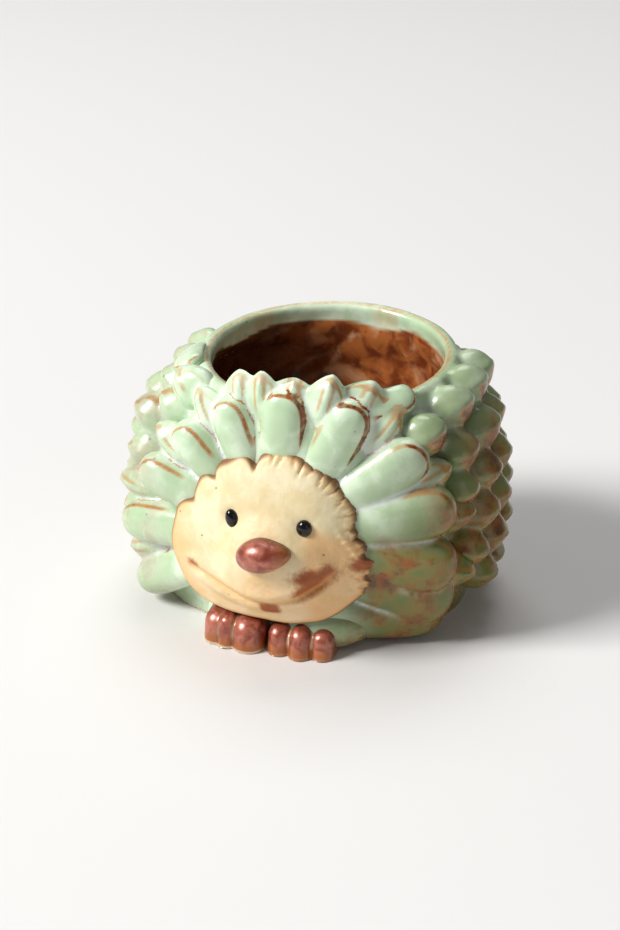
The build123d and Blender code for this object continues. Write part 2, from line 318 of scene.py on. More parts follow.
class Skin:
    """Measures over the points of a mesh, kept on it as attributes for its glaze."""

    def __init__(self, obj: bpy.types.Object) -> None:
        """Reads the points, normals and edges of a mesh.

        Args:
            obj: the object that owns the mesh.
        """
        self.obj = obj
        self.points = self.read(obj.data.vertices, "co", 3, float)
        self.normals = self.read(obj.data.vertices, "normal", 3, float)
        self.edges = self.read(obj.data.edges, "vertices", 2, np.int64)

    @staticmethod
    def read(items: bpy.types.bpy_prop_collection, name: str, width: int, kind: type) -> np.ndarray:
        """Reads one field of all the corners or edges of a mesh.

        Args:
            items: the corners or edges.
            name: name of the field.
            width: how many numbers the field has.
            kind: type of the numbers.

        Returns:
            One row per corner or edge.
        """
        values = np.empty(len(items) * width, dtype=kind)
        items.foreach_get(name, values)
        return values.reshape(-1, width)

    @property
    def places(self) -> np.ndarray:
        """Places of the points across, to the back and up, in millimetres, as three rows."""
        return (self.points / MM).T

    def spread(self, values: np.ndarray, passes: int) -> np.ndarray:
        """Averages values over neighbouring points.

        Args:
            values: one row per point.
            passes: how many times to average.

        Returns:
            The averaged values.
        """
        first, second = self.edges.T
        size = len(values)
        degree = np.bincount(first, minlength=size) + np.bincount(second, minlength=size)
        flat = values.reshape(size, -1).astype(float)
        for _ in range(passes):
            total = np.empty_like(flat)
            for column in range(flat.shape[1]):
                total[:, column] = np.bincount(first, weights=flat[second, column], minlength=size)
                total[:, column] += np.bincount(second, weights=flat[first, column], minlength=size)
            flat = 0.5 * flat + 0.5 * total / np.maximum(degree, 1)[:, None]
        return flat.reshape(values.shape)

    def valleys(self, passes: int, span: Span) -> np.ndarray:
        """Where the skin lies lower than its surroundings.

        Args:
            passes: how wide the surroundings are.
            span: depths of no valley and of a full one, in millimetres.

        Returns:
            Shares from 0 to 1.
        """
        even = self.spread(self.points, passes)
        relief = np.einsum("ij,ij->i", self.points - even, self.normals) / MM
        return ramp(-relief, *span)

    def keep(self, **marks: object) -> None:
        """Keeps marks on the mesh as attributes.

        Args:
            **marks: one number per point, or one for all, clipped to the range 0 to 1.
        """
        for name, values in marks.items():
            attribute = self.obj.data.attributes.new(name, "FLOAT", "POINT")
            filled = np.zeros(len(self.points)) + values
            attribute.data.foreach_set("value", np.clip(filled, 0, 1).astype(np.float32))

    def press(self, shifts: np.ndarray) -> None:
        """Moves the points of the mesh.

        Args:
            shifts: one vector per point, in metres.
        """
        self.points = self.points + shifts
        self.obj.data.vertices.foreach_set("co", self.points.ravel())
        self.obj.data.update()


# Finishes

class Grain(NamedTuple):
    """A cloudy noise: size of its clouds, number and weight of its finer layers, and its warp."""

    size: float
    detail: float = 3.0
    rough: float = 0.55
    warp: float = 0.0


class Speckle(NamedTuple):
    """Specks and pits of a finish: cells in a metre, share with a speck, strength, and the pits' bump."""

    fineness: float
    share: float
    strength: float
    pits: Span


class Palette:
    """Helpers that lay out shader nodes."""

    COLUMN_WIDTH = 180

    def __init__(self, tree: bpy.types.NodeTree) -> None:
        """Takes the node tree of a material, world or group to work in."""
        self.tree = tree

    def add(self, kind: str, **settings: object) -> bpy.types.Node:
        """Adds a node to the right of the others and sets its fields.

        Args:
            kind: Blender's type of node.
            **settings: values for the node's fields.

        Returns:
            The node.
        """
        node = self.tree.nodes.new(kind)
        node.location = (len(self.tree.nodes) * self.COLUMN_WIDTH, 0)
        for key, value in settings.items():
            setattr(node, key, value)
        return node

    def feed(self, node: bpy.types.Node, values: dict[object, object]) -> None:
        """Links outputs to inputs of a node, or sets the inputs to plain values.

        Args:
            node: the node.
            values: an output socket, number or colour for each input's name or number.
        """
        for key, value in values.items():
            if isinstance(value, Socket):
                self.tree.links.new(value, node.inputs[key])
            else:
                node.inputs[key].default_value = value

    def attribute(self, name: str) -> Socket:
        """Number that the mesh keeps at its points under a name."""
        return self.add("ShaderNodeAttribute", attribute_name=name).outputs["Fac"]

    def put(self, kind: str, output: object, inputs: dict[object, object], **settings: object) -> Socket:
        """Adds a node, feeds it and gives one of its outputs.

        Args:
            kind: Blender's type of node.
            output: name or number of the output.
            inputs: an output socket, number or colour for each input's name or number.
            **settings: values for the node's fields.

        Returns:
            The output.
        """
        node = self.add(kind, **settings)
        self.feed(node, inputs)
        return node.outputs[output]

    def noise(self, place: Socket, grain: Grain) -> Socket:
        """Cloudy noise, with numbers around a half."""
        return self.put("ShaderNodeTexNoise", "Fac", {
            "Vector": place, "Scale": 1.0 / (grain.size * MM), "Detail": grain.detail,
            "Roughness": grain.rough, "Distortion": grain.warp,
        })

    def sums(self, kind: str, first: object, second: object) -> Socket:
        """Result of one sum of two numbers, kept from 0 to 1."""
        return self.put("ShaderNodeMath", 0, {0: first, 1: second}, operation=kind, use_clamp=True)

    def times(self, first: object, second: object) -> Socket:
        """Product of two numbers, kept from 0 to 1."""
        return self.sums("MULTIPLY", first, second)

    def step(self, value: object, span: Span) -> Socket:
        """Soft step of a number, from 0 where the span starts to 1 where it ends."""
        inputs = {"Value": value, "From Min": span[0], "From Max": span[1]}
        return self.put("ShaderNodeMapRange", "Result", inputs, interpolation_type="SMOOTHSTEP")

    def mix(self, share: object, first: object, second: object) -> Socket:
        """Mixes two colours, with the given share of the second."""
        return self.put("ShaderNodeMix", 2, {0: share, 6: first, 7: second}, data_type="RGBA")

    def blend(self, share: object, first: object, second: object) -> Socket:
        """Blends two numbers, with the given share of the second."""
        return self.put("ShaderNodeMix", 0, {0: share, 2: first, 3: second}, data_type="FLOAT")

    def bump(self, height: Socket, size: Span, normal: Optional[Socket] = None) -> Socket:
        """Turns heights into a normal.

        Args:
            height: the heights.
            size: how much of them shows, and how deep a height of 1 is, in millimetres.
            normal: a normal to add them to.

        Returns:
            The normal.
        """
        inputs = {"Height": height, "Strength": size[0], "Distance": size[1] * MM}
        if normal is not None:
            inputs["Normal"] = normal
        return self.put("ShaderNodeBump", "Normal", inputs)

    def group(self, tree: bpy.types.NodeTree, **inputs: object) -> bpy.types.Node:
        """Adds a shader group.

        Args:
            tree: the group.
            **inputs: values for its inputs.

        Returns:
            The node.
        """
        node = self.add("ShaderNodeGroup", node_tree=tree)
        self.feed(node, inputs)
        return node

    def speckled(self, place: Socket, colour: Socket, dark: Colour,
                 speckle: Speckle) -> tuple[Socket, Socket]:
        """Adds the specks and pits of fired clay.

        Args:
            place: coordinates.
            colour: colour between the specks.
            dark: colour of the specks.
            speckle: what they are like.

        Returns:
            The speckled colour and the pitted normal.
        """
        node = self.group(Groups.speckle(), Place=place, Size=speckle.fineness, Amount=speckle.share)
        share = self.times(node.outputs["Specks"], speckle.strength)
        return self.mix(share, colour, dark), self.bump(node.outputs["Pits"], speckle.pits)


def srgb(red: int, green: int, blue: int) -> Colour:
    """Colour as light from its value on a screen.

    Args:
        red: red, 0 to 255.
        green: green, 0 to 255.
        blue: blue, 0 to 255.

    Returns:
        The colour, with an opaque fourth value.
    """
    shares = [value / 255 for value in (red, green, blue)]
    light = [share / 12.92 if share <= 0.04045 else ((share + 0.055) / 1.055) ** 2.4 for share in shares]
    return (*light, 1.0)


class Groups:
    """Shader groups that several finishes share, each laid out when it is first asked for."""

    SPECK_EDGE: Span = (0.1, 0.22)
    BREAK_CLOUD = Grain(2.2, 4.0, 0.6, 0.4)
    CRISP_SPAN: Span = (0.1, 0.62)
    THIN_SPAN: Span = (0.35, 0.6)
    THIN_LEAST = 0.72
    POOL_SPAN: Span = (0.3, 0.6)
    POOL_LEAST = 0.7

    @staticmethod
    def start(name: str, inputs: dict[str, str],
              outputs: dict[str, str]) -> tuple[Palette, dict[str, Socket]]:
        """Starts a group.

        Args:
            name: its name.
            inputs: kind of each input.
            outputs: kind of each output.

        Returns:
            A palette for its nodes, and what comes in at each input.
        """
        tree = bpy.data.node_groups.new(name, "ShaderNodeTree")
        for way, sockets in (("INPUT", inputs), ("OUTPUT", outputs)):
            for socket, kind in sockets.items():
                tree.interface.new_socket(socket, in_out=way, socket_type="NodeSocket" + kind)
        lay = Palette(tree)
        inward = lay.add("NodeGroupInput")
        return lay, {socket: inward.outputs[socket] for socket in inputs}

    @staticmethod
    @cache
    def speckle() -> bpy.types.NodeTree:
        """Dark iron specks and fine pits of fired clay.

        Returns:
            A group with the inputs Place, Size and Amount and the outputs Specks and Pits.
        """
        lay, inward = Groups.start("clay_speckle", {"Place": "Vector", "Size": "Float", "Amount": "Float"},
                                   {"Specks": "Float", "Pits": "Float"})
        cells = lay.add("ShaderNodeTexVoronoi")
        pits = lay.add("ShaderNodeTexNoise")
        for node in (cells, pits):
            lay.feed(node, {"Vector": inward["Place"], "Scale": inward["Size"]})
        near = lay.sums("SUBTRACT", 1.0, lay.step(cells.outputs["Distance"], Groups.SPECK_EDGE))
        chance = lay.add("ShaderNodeSeparateColor")
        lay.feed(chance, {0: cells.outputs["Color"]})
        chosen = lay.sums("LESS_THAN", chance.outputs[0], inward["Amount"])
        lay.feed(lay.add("NodeGroupOutput"), {"Specks": lay.times(near, chosen), "Pits": pits.outputs["Fac"]})
        return lay.tree

    @staticmethod
    @cache
    def breaking() -> bpy.types.NodeTree:
        """A glaze that thins to its iron body on edges and pools pale in hollows.

        Returns:
            A group with the inputs Place, Even, Thin, Pooled, Edge and Pool and the output Colour.
        """
        kinds = {"Place": "Vector", "Even": "Color", "Thin": "Color", "Pooled": "Color", "Edge": "Float",
                 "Pool": "Float"}
        lay, inward = Groups.start("glaze_breaking", kinds, {"Colour": "Color"})
        cloud = lay.noise(inward["Place"], Groups.BREAK_CLOUD)
        thin_cloud = lay.blend(lay.step(cloud, Groups.THIN_SPAN), Groups.THIN_LEAST, 1.0)
        thinning = lay.times(lay.step(inward["Edge"], Groups.CRISP_SPAN), thin_cloud)
        pool_cloud = lay.blend(lay.step(cloud, Groups.POOL_SPAN), Groups.POOL_LEAST, 1.0)
        pooled = lay.mix(lay.times(inward["Pool"], pool_cloud), inward["Even"], inward["Pooled"])
        lay.feed(lay.add("NodeGroupOutput"), {"Colour": lay.mix(thinning, pooled, inward["Thin"])})
        return lay.tree


@dataclass(frozen=True)
class Finish:
    """A material for one slot. A roughness is given as its least and most."""

    slot: Slot

    def build(self) -> bpy.types.Material:
        """Builds the material.

        Returns:
            The material.
        """
        material = bpy.data.materials.new(self.slot.value)
        material.use_nodes = True
        lay = Palette(material.node_tree)
        place = lay.add("ShaderNodeTexCoord").outputs["Object"]
        lay.feed(material.node_tree.nodes["Principled BSDF"], self.look(lay, place))
        return material

    def look(self, lay: Palette, place: Socket) -> dict[str, object]:
        """Lays out the look, which each finish does in its own way.

        Args:
            lay: the palette for its nodes.
            place: place of a point on the object.

        Returns:
            Values for the shader's inputs.
        """
        raise NotImplementedError


@dataclass(frozen=True)
class CeladonGlaze(Finish):
    """Opaque pale green glaze that breaks rust brown on edges, with a dark brown lining.

    It reads the attributes edge, pool, rust, shade, lining and foot. The shade attribute is painted shade,
    which darkens the green to olive and the lining towards near black.
    """

    slot: Slot = Slot.CELADON
    leaf: Colour = srgb(188, 212, 174)
    pale: Colour = srgb(220, 238, 210)
    # painted shade: dark olive that the shade attribute turns the green towards
    deep: Colour = srgb(92, 104, 34)
    halo: Colour = srgb(146, 118, 48)
    pooled: Colour = srgb(222, 228, 224)
    rust: Colour = srgb(144, 68, 16)
    umber: Colour = srgb(76, 38, 12)
    ochre: Colour = srgb(196, 124, 56)
    lining: Colour = srgb(184, 108, 56)
    lining_dark: Colour = srgb(120, 58, 30)
    lining_pale: Colour = srgb(216, 160, 116)
    # painted shade: near black that the lining turns to where it lies in shade
    lining_painted_shade: Colour = srgb(36, 22, 14)
    foot: Colour = srgb(214, 196, 168)
    cloud: Grain = Grain(9.0, 3.0, 0.5, 0.3)
    pale_span: Span = (0.36, 0.66)
    deep_least: float = 0.9
    umber_cloud: Grain = Grain(2.4, 4.0, 0.6, 0.4)
    umber_span: Span = (0.34, 0.66)
    ochre_span: Span = (0.35, 0.9)
    patch: Grain = Grain(9.0, 4.0, 0.6, 0.2)
    halo_span: Span = (0.32, 0.58)
    rust_span: Span = (0.46, 0.64)
    stain: Grain = Grain(3.0, 3.0, 0.6, 0.4)
    stain_span: Span = (0.4, 0.62)
    lining_cloud: Grain = Grain(6.0, 2.0, 0.5, 0.5)
    lining_span: Span = (0.34, 0.62)
    lining_sheen: Grain = Grain(9.0, 3.0, 0.5, 0.6)
    sheen_span: Span = (0.5, 0.72)
    speckle: Speckle = Speckle(420.0, 0.06, 0.45, (0.25, 0.06))
    swell: Grain = Grain(5.0, 2.0, 0.5)
    swell_size: Span = (0.35, 0.5)
    rough_span: Span = (0.3, 0.7)
    roughness: Span = (0.19, 0.34)
    lining_roughness: float = 0.2
    foot_roughness: float = 0.8
    coat: float = 0.18
    coat_roughness: float = 0.12

    def look(self, lay: Palette, place: Socket) -> dict[str, object]:
        """Lays out the glaze.

        Args:
            lay: the palette for its nodes.
            place: place of a point on the object.

        Returns:
            Values for the shader's inputs.
        """
        cloud = lay.noise(place, self.cloud)
        green = lay.mix(lay.step(cloud, self.pale_span), self.leaf, self.pale)
        # Painted shade: the shade attribute darkens the green towards dark olive.
        shade = lay.attribute("shade")
        green = lay.mix(lay.times(shade, lay.blend(cloud, self.deep_least, 1.0)), green, self.deep)
        thin = lay.mix(lay.step(lay.noise(place, self.umber_cloud), self.umber_span), self.rust, self.umber)
        thin = lay.mix(lay.step(lay.attribute("edge"), self.ochre_span), self.ochre, thin)
        breaking = lay.group(Groups.breaking(), Place=place, Even=green, Thin=thin, Pooled=self.pooled,
                             Edge=lay.attribute("edge"), Pool=lay.attribute("pool"))

        patch = lay.noise(place, self.patch)
        halo = lay.times(lay.attribute("rust"), lay.step(patch, self.halo_span))
        rusty = lay.times(lay.attribute("rust"), lay.step(patch, self.rust_span))
        stain = lay.mix(lay.step(lay.noise(place, self.stain), self.stain_span), self.rust, self.umber)
        colour = lay.mix(rusty, lay.mix(halo, breaking.outputs["Colour"], self.halo), stain)

        cloudy = lay.step(lay.noise(place, self.lining_cloud), self.lining_span)
        sheen = lay.step(lay.noise(place, self.lining_sheen), self.sheen_span)
        brown = lay.mix(sheen, lay.mix(cloudy, self.lining_dark, self.lining), self.lining_pale)
        # Painted shade inside the pot: the lining darkens towards near black.
        brown = lay.mix(shade, brown, self.lining_painted_shade)
        inside, bare = lay.attribute("lining"), lay.attribute("foot")
        colour, normal = lay.speckled(place, lay.mix(inside, colour, brown), self.umber, self.speckle)
        rough = lay.blend(inside, lay.blend(lay.step(cloud, self.rough_span), *self.roughness),
                          self.lining_roughness)
        return {
            "Base Color": lay.mix(bare, colour, self.foot),
            "Roughness": lay.blend(bare, rough, self.foot_roughness),
            "Coat Weight": lay.blend(bare, self.coat, 0.0),
            "Coat Roughness": self.coat_roughness,
            "Normal": lay.bump(lay.noise(place, self.swell), self.swell_size, normal),
        }


@dataclass(frozen=True)
class BareFace(Finish):
    """Cream clay wash with rust stains and a brown line round its edge.

    It reads the attributes stain, warm, outline and groove.
    """

    slot: Slot = Slot.FACE
    cream: Colour = srgb(230, 210, 162)
    light: Colour = srgb(242, 228, 190)
    tan: Colour = srgb(238, 176, 106)
    rust: Colour = srgb(158, 74, 16)
    outline: Colour = srgb(126, 84, 50)
    cloud: Grain = Grain(8.0, 4.0, 0.6, 0.4)
    light_span: Span = (0.35, 0.65)
    fine: Grain = Grain(1.3, 4.0, 0.65, 0.3)
    warm_least: float = 0.55
    stain_fray: float = 0.6
    stain_span: Span = (0.42, 1.0)
    stain_share: float = 0.95
    groove_share: float = 0.7
    speckle: Speckle = Speckle(520.0, 0.05, 0.75, (0.35, 0.1))
    swell: Grain = Grain(6.0, 3.0, 0.55)
    swell_size: Span = (0.55, 0.8)
    roughness: Span = (0.38, 0.58)

    def look(self, lay: Palette, place: Socket) -> dict[str, object]:
        """Lays out the wash.

        Args:
            lay: the palette for its nodes.
            place: place of a point on the object.

        Returns:
            Values for the shader's inputs.
        """
        fine = lay.noise(place, self.fine)
        colour = lay.mix(lay.step(lay.noise(place, self.cloud), self.light_span), self.cream, self.light)
        warmth = lay.times(lay.attribute("warm"), lay.blend(fine, self.warm_least, 1.0))
        colour = lay.mix(warmth, colour, self.tan)
        frayed = lay.sums("ADD", lay.attribute("stain"), lay.times(fine, self.stain_fray))
        colour = lay.mix(lay.times(lay.step(frayed, self.stain_span), self.stain_share), colour, self.rust)
        colour = lay.mix(lay.times(lay.attribute("groove"), self.groove_share), colour, self.tan)
        colour = lay.mix(lay.attribute("outline"), colour, self.outline)
        colour, normal = lay.speckled(place, colour, self.outline, self.speckle)
        return {
            "Base Color": colour,
            "Roughness": lay.blend(fine, *self.roughness),
            "Normal": lay.bump(lay.noise(place, self.swell), self.swell_size, normal),
        }


@dataclass(frozen=True)
class BrownGlaze(Finish):
    """Red brown glaze with a satin metal look that goes olive and dark at its edges.

    It reads the attributes edge, pool and cream.
    """

    slot: Slot = Slot.BROWN
    red: Colour = srgb(134, 56, 36)
    light: Colour = srgb(184, 108, 86)
    dark: Colour = srgb(78, 32, 14)
    olive: Colour = srgb(170, 98, 34)
    cream: Colour = srgb(236, 214, 176)
    cloud: Grain = Grain(3.5, 4.0, 0.6, 0.5)
    light_span: Span = (0.38, 0.66)
    fine: Grain = Grain(0.8, 3.0, 0.6)
    mark_least: float = 0.6
    speckle: Speckle = Speckle(900.0, 0.14, 0.3, (0.3, 0.06))
    roughness: Span = (0.3, 0.4)
    metal: float = 0.3
    coat: float = 0.7
    coat_roughness: float = 0.24

    def look(self, lay: Palette, place: Socket) -> dict[str, object]:
        """Lays out the glaze.

        Args:
            lay: the palette for its nodes.
            place: place of a point on the object.

        Returns:
            Values for the shader's inputs.
        """
        cloud, fine = lay.noise(place, self.cloud), lay.noise(place, self.fine)
        coarse_share, fine_share = (lay.blend(grain, self.mark_least, 1.0) for grain in (cloud, fine))
        colour = lay.mix(lay.step(cloud, self.light_span), self.red, self.light)
        colour = lay.mix(lay.times(lay.attribute("edge"), coarse_share), colour, self.olive)
        colour = lay.mix(lay.times(lay.attribute("pool"), fine_share), colour, self.dark)
        colour, normal = lay.speckled(place, colour, self.dark, self.speckle)
        return {
            "Base Color": lay.mix(lay.times(lay.attribute("cream"), fine_share), colour, self.cream),
            "Roughness": lay.blend(fine, *self.roughness),
            "Metallic": self.metal,
            "Coat Weight": self.coat,
            "Coat Roughness": self.coat_roughness,
            "Normal": normal,
        }


@dataclass(frozen=True)
class BlackGlaze(Finish):
    """Thick glossy black glaze with a brown tinge in patches."""

    slot: Slot = Slot.BLACK
    black: Colour = srgb(14, 12, 12)
    brown: Colour = srgb(44, 30, 22)
    cloud: Grain = Grain(1.2, 3.0, 0.5)
    brown_span: Span = (0.5, 0.75)
    swell_size: Span = (0.15, 0.1)
    roughness: Span = (0.05, 0.14)
    specular: float = 0.3
    coat: float = 0.25
    coat_roughness: float = 0.04

    def look(self, lay: Palette, place: Socket) -> dict[str, object]:
        """Lays out the glaze.

        Args:
            lay: the palette for its nodes.
            place: place of a point on the object.

        Returns:
            Values for the shader's inputs.
        """
        cloud = lay.noise(place, self.cloud)
        return {
            "Base Color": lay.mix(lay.step(cloud, self.brown_span), self.black, self.brown),
            "Roughness": lay.blend(cloud, *self.roughness),
            "Specular IOR Level": self.specular,
            "Coat Weight": self.coat,
            "Coat Roughness": self.coat_roughness,
            "Normal": lay.bump(cloud, self.swell_size),
        }


# Quills

@dataclass(frozen=True)
class Quill:
    """One quill, in metres: the frame at its root, its size and, on a knob, its seat on the wall."""

    kind: QuillKind
    root: Vector
    axis: Vector
    out: Vector
    length: float
    width: float
    height: float
    seat: Optional[Vector]

    @property
    def side(self) -> Vector:
        """Direction across the quill, anticlockwise round the face."""
        return self.out.cross(self.axis)

    def matrix(self) -> Matrix:
        """Place, turn and size of the quill for a form of unit size."""
        rows = Matrix((self.axis * self.length, self.side * self.width, self.out * self.height))
        return Matrix.Translation(self.root) @ rows.transposed().to_4x4()

    @staticmethod
    def between(kind: QuillKind, root: Vector, tip: Vector, out: Vector, width: float, height: float,
                seat: Optional[Vector] = None) -> "Quill":
        """Makes a quill from the places of its two ends.

        Args:
            kind: its form.
            root: its root, in metres.
            tip: its tip, in metres.
            out: a direction out of the wall.
            width: its width, in millimetres.
            height: its thickness, in millimetres.
            seat: its seat on the wall, in metres.

        Returns:
            The quill.
        """
        axis = (tip - root).normalized()
        square = (out - axis * out.dot(axis)).normalized()
        return Quill(kind, root, axis, square, (tip - root).length, width * MM, height * MM, seat)


@dataclass
class QuillForms:
    """The three forms of quill, of unit length, width and thickness, drawn once."""

    segments: int = 20
    petal_profile: tuple[Triple, ...] = (
        (0.00, 0.42, 0.30), (0.12, 0.45, 0.37), (0.28, 0.47, 0.43), (0.45, 0.49, 0.48), (0.60, 0.50, 0.50),
        (0.72, 0.50, 0.50), (0.82, 0.47, 0.47), (0.90, 0.40, 0.41), (0.955, 0.30, 0.32), (0.99, 0.16, 0.18),
        (1.00, 0.04, 0.04),
    )
    leaf_profile: tuple[Triple, ...] = (
        (0.00, 0.26, 0.26), (0.15, 0.38, 0.37), (0.32, 0.47, 0.46), (0.48, 0.50, 0.50), (0.62, 0.47, 0.49),
        (0.75, 0.39, 0.43), (0.86, 0.27, 0.33), (0.94, 0.15, 0.20), (1.00, 0.02, 0.03),
    )
    shaped_length: Span = (0.2, 0.97)
    blade_strips: tuple[Span, ...] = ((0.12, 0.30), (0.30, 0.44))
    blade_share: float = 0.22
    keel_strip: Span = (-1.0, 0.02)
    keel_rise: float = 0.16

    def draw(self) -> dict[QuillKind, bpy.types.Object]:
        """Draws the forms.

        Returns:
            One object for each kind.
        """
        petal = Bench.draw_form("petal_form", self.petal_profile, self.segments)
        for strip in self.blade_strips:
            self.choose_strip(petal, strip)
            bpy.ops.transform.resize(value=(1, 1, 1 + self.blade_share * strip[1]), center_override=(0, 0, 0))
        leaf = Bench.draw_form("leaf_form", self.leaf_profile, self.segments)
        self.choose_strip(leaf, self.keel_strip)
        bpy.ops.transform.translate(value=(0, 0, self.keel_rise))
        Bench.clear()
        knob = Bench.place_copy(leaf, Matrix.Identity(4), "knob_form")
        for form in (petal, leaf, knob):
            Bench.modify(form, "SUBSURF", levels=1, render_levels=1)
        return {QuillKind.PETAL: petal, QuillKind.TIP: leaf, QuillKind.KNOB: knob}

    def choose_strip(self, form: bpy.types.Object, strip: Span) -> None:
        """Goes into edit mode with the corners selected that lie in two strips along the top of a form.

        Args:
            form: the form.
            strip: how far out to each side the strips start and end.
        """
        low, high = strip
        start, end = self.shaped_length
        Bench.choose(form, lambda place: place.z > 0 and low < abs(place.y) < high and start < place.x < end)


@dataclass
class PotWall:
    """The pot's wall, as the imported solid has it."""

    node: str = "pot_shell"
    ring_height: float = 30.0
    pot_height: float = 73.0
    rim_tilt: float = 3.5
    mouth_shift: float = 3.0
    belly_half_width: float = 48.5
    belly_half_depth: float = 40.5
    foot_half_width: float = 46.0
    foot_half_depth: float = 33.5
    foot_shift: float = -2.0
    wall: float = 4.0
    mouth_radius: float = 32.5
    cavity_share: float = 0.45
    ray_start: float = 300.0
    shares: tuple[Triple, ...] = (
        (0.00, 1.00, 0.00), (0.08, 0.72, 0.00), (0.20, 0.28, 0.00), (0.36, 0.00, 0.00), (0.54, 0.00, 0.04),
        (0.68, 0.00, 0.18), (0.80, 0.00, 0.44), (0.91, 0.00, 0.80), (1.00, 0.00, 1.00),
    )

    @property
    def centre(self) -> Vector:
        """Centre of the rings that the quills are set out on."""
        return Vector((0, 0, self.ring_height * MM))

    def way(self, turn: float, fall: float) -> Vector:
        """Direction out of the ring centre.

        Args:
            turn: turn from straight up, clockwise seen from the face, in degrees.
            fall: angle from the face axis, in degrees.

        Returns:
            The direction.
        """
        turned, fallen = math.radians(turn), math.radians(fall)
        outward = math.sin(fallen)
        return Vector((outward * math.sin(turned), -math.cos(fallen), outward * math.cos(turned)))

    def hit(self, way: Vector) -> tuple[Vector, Vector]:
        """Point of the wall in a direction, and the way out of the wall there.

        Args:
            way: the direction from the ring centre.

        Returns:
            The point and the normal, or a point over the mouth where the direction leads through it.
        """
        start = self.centre + way * (self.ray_start * MM)
        found, point, normal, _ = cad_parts[self.node].ray_cast(start, -way)
        if not found or (point - self.centre).dot(way) <= 0:
            return self.centre + way * (self.pot_height * MM), way
        return point, normal

    def sections(self, z: np.ndarray) -> tuple[np.ndarray, np.ndarray, np.ndarray]:
        """Half width, half depth and shift to the right of the outside of the wall at heights.

        Args:
            z: heights, in millimetres.

        Returns:
            The three, in millimetres.
        """
        levels, foot, mouth = (np.array(column) for column in zip(*self.shares))
        level = np.clip(z / self.pot_height, 0, 1)
        foot, mouth = np.interp(level, levels, foot), np.interp(level, levels, mouth)
        outside = self.mouth_radius + self.wall
        width = self.belly_half_width + mouth * (outside - self.belly_half_width)
        depth = self.belly_half_depth + mouth * (outside - self.belly_half_depth)
        return (width + foot * (self.foot_half_width - self.belly_half_width),
                depth + foot * (self.foot_half_depth - self.belly_half_depth),
                self.mouth_shift * mouth + self.foot_shift * foot)

    def front(self, x: np.ndarray, z: np.ndarray) -> np.ndarray:
        """How far forward the outside of the wall stands at places across and heights, in millimetres."""
        width, depth, _ = self.sections(z)
        return depth * np.sqrt(np.maximum(1 - (x / width) ** 2, 0))

    def reach(self, skin: Skin, inset: float) -> np.ndarray:
        """How far out points lie, as a share of the wall's sections.

        Args:
            skin: the points.
            inset: how far within the outside of the wall a share of 1 is, in millimetres.

        Returns:
            The shares.
        """
        x, y, z = skin.places
        width, depth, shift = self.sections(z)
        return np.hypot((x - shift) / (width - inset), y / (depth - inset))

    def clear_cavity(self, skin: Skin) -> None:
        """Presses what would stand inside the pot out into the thickness of its wall.

        Args:
            skin: the skin of a piece that lies on the wall.
        """
        x, y, z = skin.places
        reach = self.reach(skin, self.cavity_share * self.wall)
        push = np.where((reach < 1) & (y < 0), 1 / np.maximum(reach, 0.05) - 1, 0)
        skin.press(np.stack([(x - self.sections(z)[2]) * push, y * push, np.zeros_like(x)], 1) * MM)

    def away(self, point: Vector) -> Vector:
        """Way out of the wall near a point in front, worked out from the belly's widths.

        Args:
            point: the point, in metres.

        Returns:
            The direction.
        """
        rise = (point.z / MM - self.ring_height) / self.pot_height ** 2
        return Vector((point.x / MM / self.belly_half_width ** 2, point.y / MM / self.belly_half_depth ** 2,
                       rise)).normalized()

    def below_rim(self, y: np.ndarray, z: np.ndarray) -> np.ndarray:
        """How far places lie under the plane of the rim, in millimetres."""
        return self.pot_height + y * math.tan(math.radians(self.rim_tilt)) - z

    def round_mouth(self, skin: Skin) -> tuple[np.ndarray, np.ndarray]:
        """Turn round the middle of the mouth and distance from it, in millimetres, of points."""
        x, y, _ = skin.places
        return np.arctan2(y, x - self.mouth_shift), np.hypot(x - self.mouth_shift, y)


